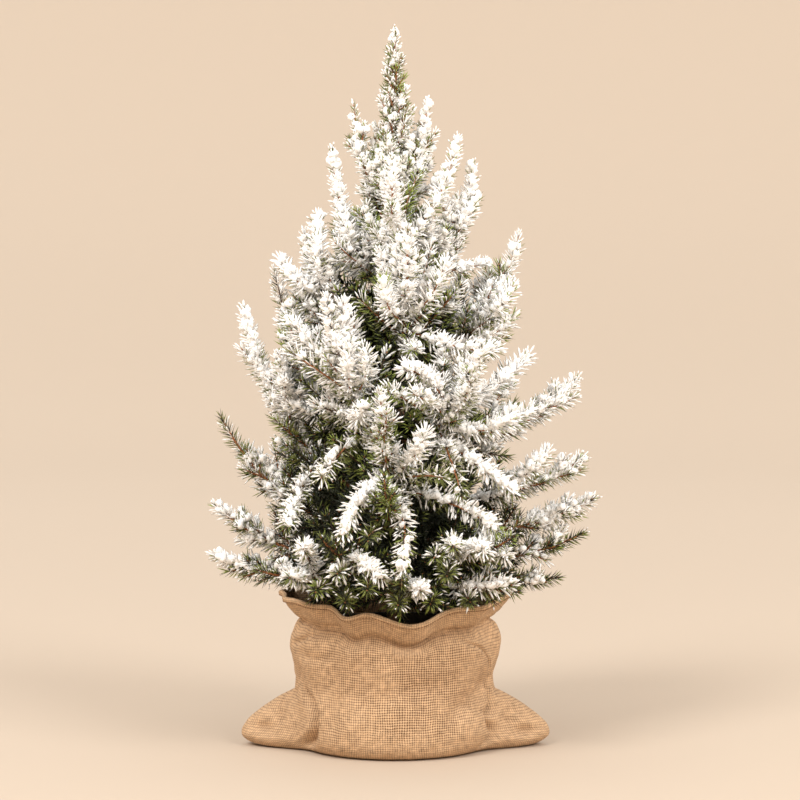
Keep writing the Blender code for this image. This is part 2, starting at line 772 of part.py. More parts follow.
def build_leader(name, attempt, fewer, space, index):
    """The mass round the top of the trunk: a core hollowed to clear it, with rising sprigs."""
    rng = np.random.default_rng(SEED + LEADER_SEED + ATTEMPT_SEED * attempt)
    count = LEADER_SPRIGS - fewer
    heights = np.linspace(LEADER_BASE_Z, TRUNK_TOP_Z - TRUNK_TIP_HEIGHT, len(LEADER_BELLY))
    rings = [[trunk_axis(TRUNK_TOP_Z) + np.array((0.0, 0.0, 3 * GAP))]]
    rings += [trunk_ring(z, 2 * GAP) for z in reversed(heights)]
    rings += [trunk_ring(z, LEADER_WALL * share) for z, share in zip(heights, LEADER_BELLY)]
    rings += [trunk_ring(LEADER_CORE_TOP_Z - LEADER_NECK_HEIGHT, LEADER_NECK * LEADER_WALL)]
    rings += [[trunk_axis(LEADER_CORE_TOP_Z)]]
    base = loft(name, rings)
    first = LEADER_BASE_Z + LEADER_FIRST_SPRIG
    last = LEADER_CORE_TOP_Z - LEADER_LAST_SPRIG
    pieces = []
    for k in range(count):
        share = k / (count - 1)
        height = first + (last - first) * share
        turn = k * GOLDEN_TURN
        out = np.array((math.cos(turn), math.sin(turn), 0.0))
        root = trunk_axis(height) + (trunk_radius(height) + 0.5 * LEADER_WALL) * out
        length = LEADER_LENGTH + LEADER_LENGTHENS * share
        length += rng.uniform(-LEADER_LENGTH_JITTER, LEADER_LENGTH_JITTER)
        lean = math.radians(LEADER_LEAN[0] + (LEADER_LEAN[1] - LEADER_LEAN[0]) * share)
        along = math.sin(lean) * out + math.cos(lean) * np.array((0, 0, 1.0))
        room = space.room(index, (root + LEADER_PROBE * length * along)[None, :])[0]
        radius = min(LEADER_SPRAY_R, room)
        while length > LEADER_LEAST:
            tip = root + length * along
            reached = spray_points(root, tip, radius)
            if tip[2] < TREE_TOP_Z and space.holds(index, reached, beside_trunk=True):
                pieces.append(sprig(f"{name}_sprig_{k}", root, tip, radius, k))
                break
            length -= LEADER_SHORTENS
    foot = trunk_axis(last)
    top = np.array((0.0, 0.0, TREE_TOP_Z))
    pieces.append(sprig(f"{name}_top", foot, top, LEADER_SPRAY_R, 0.3))
    return join(name, base, pieces, material("snowy_needles", SNOWY_NEEDLES, 0.9))


def main():
    clear_scene()
    build_pot()
    build_soil()
    build_sack()
    build_trunk()
    plan = plan_boughs()
    limbs, boughs = [], []
    for number, bough in enumerate(plan, 1):
        limbs.append(np.array([along_bough(bough, s) for s in np.linspace(0.0, 1.0, SPACE_STEPS)]))
        boughs.append(None)
        if bough[0] < TIERS_WITH_BOUGHS:
            build_bough(number, bough)
            shares = np.linspace(0.0, BOUGH_SHARE, SPACE_STEPS)
            boughs[-1] = np.array([along_bough(bough, s) for s in shares])
    leader_heights = np.linspace(LEADER_BASE_Z, TREE_TOP_Z, SPACE_STEPS)
    limbs.append(np.array([trunk_axis(z) for z in leader_heights]))
    boughs.append(None)
    space = Space(limbs, boughs)
    for index, bough in enumerate(plan):
        until_sound(build_mass, f"foliage_{index + 1:02d}", bough, space, index)
    until_sound(build_leader, "leader_foliage", space, len(plan))


main()
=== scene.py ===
"""The looks of a small snow-dusted spruce in a slack jute sack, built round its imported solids.

Metres, +Z up, -Y towards the viewer. The trunk, the boughs and the space that each bough's
foliage keeps to follow the same rules as the solids, and carry on from them to twigs, needles
and snow. The script is laid out as an add-on: one operator for each group of pieces, run in
order by main().
"""

import collections
import functools
import math

import bpy
import numpy as np
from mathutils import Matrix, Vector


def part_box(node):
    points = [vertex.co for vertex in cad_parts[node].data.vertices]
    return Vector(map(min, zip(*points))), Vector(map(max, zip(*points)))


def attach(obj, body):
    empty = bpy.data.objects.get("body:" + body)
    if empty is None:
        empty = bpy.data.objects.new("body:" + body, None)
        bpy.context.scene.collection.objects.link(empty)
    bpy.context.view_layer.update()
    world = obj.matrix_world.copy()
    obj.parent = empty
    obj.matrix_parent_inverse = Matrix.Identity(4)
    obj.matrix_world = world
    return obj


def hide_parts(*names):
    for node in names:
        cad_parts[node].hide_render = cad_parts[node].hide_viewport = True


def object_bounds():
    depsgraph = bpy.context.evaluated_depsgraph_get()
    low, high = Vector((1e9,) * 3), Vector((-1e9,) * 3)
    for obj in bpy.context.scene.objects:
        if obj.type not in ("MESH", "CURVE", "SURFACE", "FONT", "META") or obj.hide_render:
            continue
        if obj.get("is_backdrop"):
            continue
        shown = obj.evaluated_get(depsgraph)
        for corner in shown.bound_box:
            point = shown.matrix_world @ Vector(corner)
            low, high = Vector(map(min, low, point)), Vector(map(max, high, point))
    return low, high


bl_info = {
    "name": "Snowy potted spruce",
    "version": (1, 0, 0),
    "blender": (4, 5, 0),
    "location": "3D Viewport > Sidebar > Spruce",
    "description": "Dresses a potted spruce with bark, twigs, needles, snow and a jute sack",
    "category": "Object",
}

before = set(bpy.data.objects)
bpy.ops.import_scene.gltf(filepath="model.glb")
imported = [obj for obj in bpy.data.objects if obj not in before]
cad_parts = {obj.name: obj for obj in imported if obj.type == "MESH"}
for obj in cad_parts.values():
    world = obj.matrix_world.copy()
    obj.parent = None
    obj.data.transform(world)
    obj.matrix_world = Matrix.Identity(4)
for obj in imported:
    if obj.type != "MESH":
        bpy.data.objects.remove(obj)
CAD_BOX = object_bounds()

# Heights that the frame gives
SOIL_TOP_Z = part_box("soil")[1].z
TRUNK_TOP_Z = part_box("trunk")[1].z
TREE_TOP_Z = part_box("leader_foliage")[1].z
SOIL_EDGE_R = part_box("soil")[1].x

# Trunk, as in the solids
TRUNK_BASE_R = 0.0085
TRUNK_TIP_R = 0.0011
TRUNK_TAPER = 0.9
TRUNK_SWAY = 0.0035
SWAY_HALF_WAVES = 1.2
SWAY_TO_BACK = 0.6
FLARE_R = 0.0055
FLARE_HEIGHT = 0.011
FLARE_ROOTS = 5
FLARE_VALLEY = 0.4

# Crown: for each tier the boughs at its front and its back besides one at each side, the
# height of their feet, then reach and tip height at its left and at its right
TIERS = (
    (3, 1, 0.159, 0.181, 0.19, 0.163, 0.168),
    (2, 1, 0.18, 0.18, 0.24, 0.188, 0.212),
    (1, 2, 0.208, 0.174, 0.329, 0.198, 0.247),
    (1, 1, 0.244, 0.152, 0.437, 0.188, 0.288),
    (2, 1, 0.3, 0.12, 0.474, 0.181, 0.367),
    (1, 1, 0.385, 0.09, 0.511, 0.123, 0.509),
    (1, 0, 0.462, 0.063, 0.596, 0.078, 0.582),
    (0, 1, 0.535, 0.041, 0.64, 0.032, 0.645),
)
TIERS_WITH_BOUGHS = 4
FOOT_STAGGER = 0.004
AZIMUTH_JITTER = 9.0
REACH_JITTER = 0.04
HEIGHT_JITTER = 0.01
CURVE_OUT = 0.62
CURVE_UP = 0.14
BOUGH_FOOT_R = 0.0035
BOUGH_END_R = 0.0021
BOUGH_SHARE = 0.24
LEADER_BASE_Z = 0.562
PLAN_SEED = 41
# For each tier and the leader
STEM_UPTURN = (0.0, 0.12, 0.2, 0.3, 0.4, 0.4, 0.55, 0.4, 0.0)

# Space of the crown's body, which only the tips of the boughs stand out of
BODY_WIDE_Z = 0.22
BODY_TOP_Z = 0.66
BODY_R = 0.153
BODY_ROUND = 1.6
BODY_TUCK = 0.35
BODY_TUCK_OVER = 0.09
LEADER_R = 0.02
SPIRE_R = 0.0145
SACK_MOUTH_R = 0.085
ABOVE_RIM = 0.0045
ABOVE_SOIL_Z = 0.124

# Jute sack, as in the solids: outer profile from the underside to the rim, inner one back down
SACK_OUTER = (
    (0.06, 0.0),
    (0.088, 0.0),
    (0.1, 0.007),
    (0.1045, 0.024),
    (0.1015, 0.046),
    (0.0985, 0.068),
    (0.1035, 0.092),
    (0.104, 0.108),
    (0.0975, 0.121),
    (0.103, 0.131),
    (0.1095, 0.142),
)
SACK_INNER = ((0.1075, 0.1425), (0.1, 0.135), (0.0925, 0.124), (0.0895, 0.114), (0.0715, 0.0025))
SACK_FLOOR = 0.0025
EAR_REACH = 0.053
EAR_FULL_Z = 0.01
EAR_TOP_Z = 0.056
EAR_SPREAD = 0.26
EAR_SLOPE = 1.5
EAR_ROUND = 0.9
EAR_UNDERCUT = 0.12
EAR_NARROWS = 0.45
CUFF_START_Z = 0.117
NECK_Z = 0.119
RIM_Z = 0.142
RIM_LIFT = 0.004
RIM_CORNER_FLARE = 0.004
RIM_CORNER_LIFT = 0.004
CORNER_SHARPNESS = 6
# Dips along the rim: azimuth in degrees, half width in degrees, depth
RIM_DIPS = (
    (-83.0, 17.0, 0.0145),
    (-114.0, 7.0, 0.008),
    (-40.0, 9.0, 0.003),
    (48.0, 12.0, 0.007),
    (88.0, 14.0, 0.01),
    (127.0, 11.0, 0.006),
)
FOLDS_START_Z = 0.02
SACK_FOLDS = ((7, 0.4, 0.001), (11, 2.1, 0.0009), (17, 4.0, 0.0006))

GOLDEN_TURN = math.radians(137.5)
UP = np.array((0.0, 0.0, 1.0))
# The photo's viewpoint: place and drop of the camera, its lens and sensor in mm, and the focal
# length and the middle of the photo in pixels
PHOTO_CAMERA = (0.005, -2.6, 0.47)
PHOTO_DROP = math.radians(2.72)
PHOTO_LENS = 117.0
SENSOR_WIDTH = 36.0
PHOTO_WIDTH = 800
PHOTO_FOCUS = PHOTO_WIDTH * PHOTO_LENS / SENSOR_WIDTH
PHOTO_MIDDLE = PHOTO_WIDTH / 2


# Settings that a user may change


def colour_setting(name, description, default):
    """A colour that a user may pick."""
    return bpy.props.FloatVectorProperty(
        name=name, description=description, default=default, subtype="COLOR", size=3, min=0.0, max=1.0)


def number_setting(name, description, default, least, kind=None, digits=2):
    """A number that a user may set, of a kind such as LENGTH or POWER."""
    return bpy.props.FloatProperty(name=name, description=description, default=default, min=least,
                                   unit=kind or "NONE", precision=digits)


def length_setting(name, description, default, least, digits=4):
    """A length that a user may set, in metres."""
    return number_setting(name, description, default, least, "LENGTH", digits)


class CrownSettings(bpy.types.PropertyGroup):
    """Sizes and colours of the twigs, the needles and the snow on them."""

    shoot_spacing: length_setting("Shoot spacing", "Distance between shoots along a bough", 0.0088, 0.003)
    twig_spacing: length_setting("Twig spacing", "Distance between twigs along a shoot", 0.0125, 0.003)
    needle_spacing: length_setting(
        "Needle spacing", "Distance between needles along a twig", 0.00072, 0.0003, digits=5)
    needle_length: length_setting("Needle length", "Length of a full-grown needle", 0.014, 0.004)
    needle_width: length_setting("Needle width", "Width of a bare needle", 0.0013, 0.0003)
    coated_width: length_setting("Coated width", "Width of a needle coated with snow", 0.0019, 0.0005)
    snow_amount: bpy.props.FloatProperty(
        name="Snow", description="How much of the crown the snow covers",
        default=0.0, min=-1.0, max=1.0, subtype="FACTOR")
    snow_colour: colour_setting("Snow", "Colour of the snow", (0.885, 0.877, 0.86))
    frosted_colour: colour_setting(
        "Frosted needles", "Colour of needles with a thin frost", (0.35, 0.34, 0.2))
    # Near-black needles deep and low in the crown: the darker green of old needles, darkened much further
    # as painted shade
    shade_colour: colour_setting(
        "Shaded needles", "Colour of the old needles inside the crown", (0.017, 0.022, 0.006))
    green_colour: colour_setting("Green needles", "Colour of full-grown needles", (0.16, 0.185, 0.038))
    young_colour: colour_setting("Young needles", "Colour of this year's needles", (0.26, 0.32, 0.06))
    twig_colour: colour_setting("Twigs", "Colour of the twigs", (0.3, 0.115, 0.04))
    # Twigs deep in the crown: darker old bark, darkened further as painted shade
    old_twig_colour: colour_setting(
        "Old twigs", "Colour of the twigs deep in the crown", (0.075, 0.042, 0.024))
    bud_colour: colour_setting("Buds", "Colour of the buds", (0.3, 0.13, 0.05))
    bark_colour: colour_setting("Bark", "Colour of the bark", (0.16, 0.085, 0.045))


class SackSettings(bpy.types.PropertyGroup):
    """Sizes and colours of the sack, the pot and the soil."""

    thread_pitch: length_setting(
        "Thread pitch", "Distance between two threads of the jute", 0.0024, 0.0005)
    hem_radius: length_setting("Hem radius", "Radius of the rolled hem", 0.0026, 0.0005)
    stitch_pitch: length_setting(
        "Stitch pitch", "Distance between two stitches of the hem", 0.0031, 0.001)
    jute_colour: colour_setting("Jute", "Colour of the threads", (0.59, 0.382, 0.218))
    # Gaps of the weave: painted shade of the sack's inside, with the dark pot, seen through the weave
    painted_gap_shade_colour: colour_setting("Gaps", "Colour of the gaps between threads", (0.13, 0.062, 0.025))
    stitch_colour: colour_setting("Stitches", "Colour of the stitches of the hem", (0.26, 0.15, 0.078))
    pot_colour: colour_setting("Pot", "Colour of the nursery pot", (0.034, 0.026, 0.02))
    soil_colour: colour_setting("Soil", "Colour of the soil", (0.085, 0.05, 0.03))


class StageSettings(bpy.types.PropertyGroup):
    """The floor, the lights and the camera."""

    floor_colour: colour_setting("Floor", "Colour of the seamless floor", (0.514, 0.418, 0.326))
    wall_colour: colour_setting(
        "Wall", "Colour of the floor far off, where it turns up", (0.612, 0.512, 0.41))
    world_strength: number_setting("World", "Strength of the light from all round", 1.15, 0.0)
    key_power: number_setting("Key light", "Power of the light from the upper left", 245.0, 0.0, "POWER")
    fill_power: number_setting("Fill light", "Power of the light from the right", 190.0, 0.0, "POWER")
    camera_distance: number_setting(
        "Camera distance", "Distance of the camera in front of the trunk", -PHOTO_CAMERA[1], 0.5, "LENGTH")
    camera_height: number_setting(
        "Camera height", "Height of the camera over the floor", PHOTO_CAMERA[2], 0.0, "LENGTH")
    camera_drop: bpy.props.FloatProperty(
        name="Camera drop", description="Angle that the camera looks down by",
        default=PHOTO_DROP, subtype="ANGLE")
    camera_lens: number_setting("Lens", "Focal length on a 36 mm sensor, in mm", PHOTO_LENS, 10.0)


# Curves and frames, for many limbs at once


LENGTH_STEPS = 8
LEVEL_LEAST = 1e-4
RIPPLE_WAVES = 7
RIPPLE_PACES = (0.7, 1.6)
RIPPLE_SWELL = 1.6


def unit(vectors):
    """Vectors made one long: each over its own length."""
    return vectors / np.linalg.norm(vectors, axis=-1, keepdims=True)


def along(curves, shares):
    """Points of quadratic curves: (1-s)^2 start + 2s(1-s) bend + s^2 end, for each share s."""
    s = np.asarray(shares, float)[..., None]
    start, bend, end = (curves[:, None, k] for k in range(3))
    return (1 - s) ** 2 * start + 2 * s * (1 - s) * bend + s**2 * end


def heading(curves, shares):
    """Unit tangents of the curves: (1-s)(bend - start) + s(end - bend), made one long."""
    s = np.asarray(shares, float)[..., None]
    start, bend, end = (curves[:, None, k] for k in range(3))
    return unit((1 - s) * (bend - start) + s * (end - bend))


def point_on(curves, share):
    """The point of each curve at one share."""
    return along(curves, (share,))[:, 0]


def seats(curves, shares):
    """For each curve, at its own share: the point, the heading and the two ways square to it."""
    shares = shares[:, None]
    ahead = heading(curves, shares)[:, 0]
    level, upright = square_to(ahead)
    return along(curves, shares)[:, 0], ahead, level, upright


def stretch(curves, low, high):
    """The part of each curve from one share to another, again as start, bend and end."""
    ends = along(curves, np.stack((low, high), axis=-1))
    s, t = low[:, None], high[:, None]
    start, bend, end = (curves[:, k] for k in range(3))
    middle = (1 - s) * (1 - t) * start + ((1 - s) * t + s * (1 - t)) * bend + s * t * end
    return np.stack((ends[:, 0], middle, ends[:, 1]), axis=1)


def lengths(curves):
    """Length of each curve, over a chain of LENGTH_STEPS straight steps."""
    chain = along(curves, np.linspace(0, 1, LENGTH_STEPS + 1))
    return np.linalg.norm(np.diff(chain, axis=1), axis=2).sum(axis=1)


def square_to(directions):
    """Two unit vectors square to each direction, one of them level, turning right-handed."""
    level = np.cross(UP, directions)
    flat = np.linalg.norm(level, axis=-1, keepdims=True) < LEVEL_LEAST
    level = unit(np.where(flat, (1.0, 0.0, 0.0), level))
    return level, np.cross(directions, level)


def full_turn(count):
    """Angles evenly spaced round a full turn."""
    return 2 * math.pi * np.arange(count) / count


def turned(level, upright, angles):
    """Directions at angles between two ways: cos(a) level + sin(a) upright."""
    return np.cos(angles)[..., None] * level + np.sin(angles)[..., None] * upright


def round_trunk(radius, turn, height):
    """Points at a radius, an azimuth and a height: (r cos(a), r sin(a), z)."""
    return np.stack(np.broadcast_arrays(radius * np.cos(turn), radius * np.sin(turn), height), axis=-1)


def off_axis(points):
    """Level distance of points from the middle of the part."""
    return np.linalg.norm(points[:, :2], axis=1)


def degrees_off(turn, azimuth):
    """Angle from an azimuth in degrees to turn, in degrees from -180 to 180."""
    return (np.degrees(turn) - azimuth + 180) % 360 - 180


def run_along(line):
    """The way along a line of points up to each of them."""
    return np.concatenate(((0.0,), np.cumsum(np.linalg.norm(np.diff(line, axis=0), axis=1))))


def points_at(line, run, places):
    """The points of a line at ways along it, between its own points in a straight line."""
    return np.stack([np.interp(places, run, line[:, k]) for k in range(line.shape[1])], axis=1)


def between(ends, share):
    """The value at a share of the way from one end to the other."""
    return ends[0] + (ends[1] - ends[0]) * share


def smooth_step(low, high, value):
    """The smooth step 3t^2 - 2t^3, where t is how far value has come from low to high."""
    t = np.clip((value - low) / (high - low), 0.0, 1.0)
    return t * t * (3 - 2 * t)


def bell(share):
    """The bell exp(-share^2)."""
    return np.exp(-(share**2))


def ripple(points, size, seed):
    """Smooth noise from -1 to 1: the mean of sines that run in random directions, swollen."""
    rng = np.random.default_rng(seed)
    runs = unit(rng.normal(size=(RIPPLE_WAVES, points.shape[-1])))
    runs = runs * rng.uniform(*RIPPLE_PACES, (RIPPLE_WAVES, 1))
    phase = rng.uniform(0, 2 * math.pi, RIPPLE_WAVES)
    swing = np.sin(points @ runs.T * (2 * math.pi / size) + phase)
    return np.clip(RIPPLE_SWELL * swing.mean(axis=-1), -1, 1)


# Meshes from whole arrays


# How far a limb's first point lies before its first ring, in radii
LIMB_DOME = 0.5
THORN_FACES = np.array(((0, 2, 1), (0, 1, 3), (1, 2, 3), (2, 0, 3)))


def add_piece(name, mesh, finish, slot_name, *nodes):
    """Puts a finished mesh in the scene as a piece that rides on the part."""
    if mesh.validate():
        raise RuntimeError(f"{name} has faces that had to be repaired")
    mesh.materials.append(finish)
    piece = bpy.data.objects.new(name, mesh)
    bpy.context.scene.collection.objects.link(piece)
    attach(piece, "root")
    if nodes:
        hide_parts(*nodes)
    return piece


def mesh_of(name, points, faces):
    """A smooth mesh from an array of points and one of faces that all have as many corners."""
    mesh = bpy.data.meshes.new(name)
    count, corners = faces.shape
    mesh.vertices.add(len(points))
    mesh.vertices.foreach_set("co", np.ascontiguousarray(points, np.float32).ravel())
    mesh.loops.add(count * corners)
    mesh.loops.foreach_set("vertex_index", np.ascontiguousarray(faces, np.int32).ravel())
    mesh.polygons.add(count)
    mesh.polygons.foreach_set("loop_start", np.arange(count, dtype=np.int32) * corners)
    mesh.polygons.foreach_set("use_smooth", np.full(count, True))
    mesh.update(calc_edges=True)
    return mesh


def repeated(faces, points_each, count):
    """The faces of one skin, over again for each of count skins that have points_each points."""
    return (faces + points_each * np.arange(count)[:, None, None]).reshape(-1, faces.shape[1])


def joined(skins):
    """Several skins, each points and faces, as the points and faces of one."""
    starts = np.cumsum([0] + [len(points) for points, _ in skins])
    faces = [faces + start for (_, faces), start in zip(skins, starts)]
    return np.concatenate([points for points, _ in skins]), np.concatenate(faces)


def sleeve_faces(rings, sides):
    """Triangles of one sleeve: a fan at its first point, bands between rings, a fan at its last.

    Its points are numbered from the first point, ring by ring, to the last point.
    """
    here = 1 + np.arange(rings * sides).reshape(rings, sides)
    after = np.roll(here, -1, axis=1)
    fans = [(0 * here[0], after[0], here[0])]
    for low, low_after, high, high_after in zip(here[:-1], after[:-1], here[1:], after[1:]):
        fans += [(low, low_after, high_after), (low, high_after, high)]
    fans.append((here[-1], after[-1], 0 * here[0] + 1 + rings * sides))
    return np.concatenate([np.stack(fan, axis=1) for fan in fans])


def sleeves(first, centres, directions, radii, last, sides, spin):
    """Closed skins of many limbs: ring k of limb n stands square round centres[n, k].

    A point of it lies at centre + radius (cos(a) level + sin(a) upright) for evenly spaced a,
    turned on by the limb's spin, and a point closes each end.
    """
    level, upright = square_to(directions)
    out = turned(level[:, :, None], upright[:, :, None], spin[:, None, None] + full_turn(sides))
    rings = centres[:, :, None] + radii[:, :, None, None] * out
    count, steps = radii.shape
    points = np.concatenate((first[:, None], rings.reshape(count, -1, 3), last[:, None]), axis=1)
    return points.reshape(-1, 3), repeated(sleeve_faces(steps, sides), points.shape[1], count)


def limb_skins(curves, start_radius, end_radius, steps, sides):
    """Sleeves along curves, with radii that taper evenly and rings evenly spaced."""
    shares = np.linspace(0.0, 1.0, steps + 1)[:-1]
    radii = start_radius[:, None] * (1 - shares) + end_radius[:, None] * shares
    spin = np.arange(len(curves)) * GOLDEN_TURN
    centres = along(curves, shares)
    directions = heading(curves, shares)
    first = centres[:, 0] - LIMB_DOME * radii[:, :1] * directions[:, 0]
    return sleeves(first, centres, directions, radii, curves[:, 2], sides, spin)


def thorns(starts, directions, sizes, widths, spin):
    """Closed straight thorns: a base of three corners round each start and one point at the end."""
    level, upright = square_to(directions)
    out = turned(level[:, None], upright[:, None], spin[:, None] + full_turn(3))
    base = starts[:, None] + 0.5 * widths[:, None, None] * out
    points = np.concatenate((base, (starts + sizes[:, None] * directions)[:, None]), axis=1)
    return points.reshape(-1, 3), repeated(THORN_FACES, points.shape[1], len(starts))


def spindles(starts, directions, sizes, widths, form, sides, spin):
    """Closed straight spindles: rings at the form's places along, as wide as its shares of the
    width."""
    places, shares = np.asarray(form)
    centres = starts[:, None] + (sizes[:, None] * places)[..., None] * directions[:, None]
    directions_all = np.repeat(directions[:, None], len(places), 1)
    radii = 0.5 * widths[:, None] * shares
    ends = starts + sizes[:, None] * directions
    return sleeves(starts, centres, directions_all, radii, ends, sides, spin)


def shell(name, rows, first, last, near, far):
    """A closed surface over a grid: rows run round it, and a point closes each end of it.

    near and far hold the flat place of each grid point and of the next one round from it, so
    that seams may part the flat places between any two columns of faces.
    """
    steps, around = rows.shape[:2]
    points = np.concatenate((first[None], rows.reshape(-1, 3), last[None]))
    here = 1 + np.arange(steps * around).reshape(steps, around)
    after = np.roll(here, -1, axis=1)
    quads = np.stack((here[:-1], after[:-1], after[1:], here[1:]), axis=-1).reshape(-1, 4)
    low_fan = np.stack((0 * here[0], after[0], here[0]), axis=1)
    high_fan = np.stack((here[-1], after[-1], 0 * here[0] + len(points) - 1), axis=1)
    mesh = bpy.data.meshes.new(name)
    mesh.from_pydata(points, [], quads.tolist() + low_fan.tolist() + high_fan.tolist())
    flat = np.stack((near[:-1], far[:-1], far[1:], near[1:]), axis=2)
    low, high = (np.stack((near[k], far[k], near[k]), axis=1) for k in (0, -1))
    corners = np.concatenate([places.reshape(-1, 2) for places in (flat, low, high)])
    mesh.uv_layers.new(name="cloth").data.foreach_set("uv", corners.astype(np.float32).ravel())
    mesh.shade_smooth()
    return mesh


# Shader nodes


# Shares of the coarse and the fine noise in the grain, and where it turns from dark to light
GRAIN_SHARES = (0.6, 0.4)
GRAIN_EDGES = (0.36, 0.64)
GRAIN_DETAILS = (4.0, 3.0)
# Noise that shifts the threads of the weave
WOBBLE_SCALE = 45.0
WOBBLE_REACH = 0.004
# Noise of each thread: its steps from thread to thread each way, its pace along the thread,
# its scale, and what keeps both ways apart
THREAD_STEPS = (0.37, 0.2)
THREAD_PACE = 0.17
THREAD_SCALE = 1.7
THREAD_APART = 7.0
# What a value is multiplied by and what is added then: how thin threads are by their noise, how
# high they ride over each other, and how wide and how dark gaps are by the looseness
THREAD_THIN = (-0.9, 1.45)
THREAD_RIDE = (0.1, 0.9)
GAP_WIDTH = (0.5, 0.22)
# The gaps turn to the gap colour: painted shade of the sack's inside seen through the weave
GAP_DARKNESS = (0.15, 0.85)
GAP_DARKEST = -0.45
# The groove darkens each thread towards its edges: painted shade between threads
GROOVE_POWER = 3.0
GROOVE_PAINTED_SHADE = -0.58
TONE_NOISE = (0.7, 1.3)
TONE_LEVELS = (0.84, 1.12)
# How far the hollows of the cloth are darkened toward the gap colour: painted shade in creases
HOLLOW_PAINTED_SHADE = 0.22


class Graph:
    """Places nodes in a node tree and joins their sockets."""

    def __init__(self, tree):
        self.tree = tree

    def feed(self, node, inputs):
        """Sets or links a node's inputs: pairs of socket and value or link."""
        for key, value in dict(inputs).items():
            if isinstance(value, bpy.types.NodeSocket):
                self.tree.links.new(value, node.inputs[key])
            else:
                node.inputs[key].default_value = value
        return node

    def put(self, kind, inputs=(), **settings):
        """A new node: settings are its own values, inputs are fed to it."""
        node = self.tree.nodes.new(kind)
        for key, value in settings.items():
            setattr(node, key, value)
        return self.feed(node, inputs)

    def maths(self, operation, *values):
        """The result of one operation on values."""
        return self.put("ShaderNodeMath", enumerate(values), operation=operation).outputs[0]

    def vectors(self, operation, inputs):
        """The node of one operation on vectors."""
        return self.put("ShaderNodeVectorMath", inputs, operation=operation)

    def blend(self, factor, low, high):
        """A colour between two others: low + factor (high - low)."""
        node = self.put("ShaderNodeMix", {0: factor, 6: low, 7: high}, data_type="RGBA")
        return node.outputs[2]

    def noise(self, place, scale, detail):
        """The node of soft noise over a place."""
        return self.put("ShaderNodeTexNoise", {"Vector": place, "Scale": scale, "Detail": detail})

    def ranged(self, value, low, high, to_low=0.0, to_high=1.0, **settings):
        """A value's way from low to high, led over to another stretch."""
        inputs = {"Value": value, "From Min": low, "From Max": high, "To Min": to_low, "To Max": to_high}
        return self.put("ShaderNodeMapRange", inputs, **settings).outputs[0]


def node_group(name, inputs, outputs):
    """An empty shader node group with named sockets: its graph, its inputs and its output node."""
    tree = bpy.data.node_groups.new(name, "ShaderNodeTree")
    for label, kind, default in inputs:
        socket = tree.interface.new_socket(label, in_out="INPUT", socket_type=kind)
        if default is not None:
            socket.default_value = default
    for label, kind in outputs:
        tree.interface.new_socket(label, in_out="OUTPUT", socket_type=kind)
    graph = Graph(tree)
    return graph, graph.put("NodeGroupInput").outputs, graph.put("NodeGroupOutput")


@functools.lru_cache(maxsize=None)
def grain_group():
    """Mottling: noise of two sizes blends two colours and lends a height to the surface."""
    inputs = (("Light", "NodeSocketColor", None), ("Dark", "NodeSocketColor", None),
              ("Coarse", "NodeSocketFloat", 60.0), ("Fine", "NodeSocketFloat", 600.0))
    outputs = (("Colour", "NodeSocketColor"), ("Height", "NodeSocketFloat"))
    graph, given, made = node_group("grain", inputs, outputs)
    place = graph.put("ShaderNodeTexCoord").outputs["Object"]
    parts = [
        graph.maths("MULTIPLY", graph.noise(place, given[label], detail).outputs["Fac"], share)
        for label, detail, share in zip(("Coarse", "Fine"), GRAIN_DETAILS, GRAIN_SHARES)]
    both = graph.maths("ADD", *parts)
    colour = graph.blend(graph.ranged(both, *GRAIN_EDGES), given["Dark"], given["Light"])
    graph.feed(made, {"Colour": colour, "Height": both})
    return graph.tree


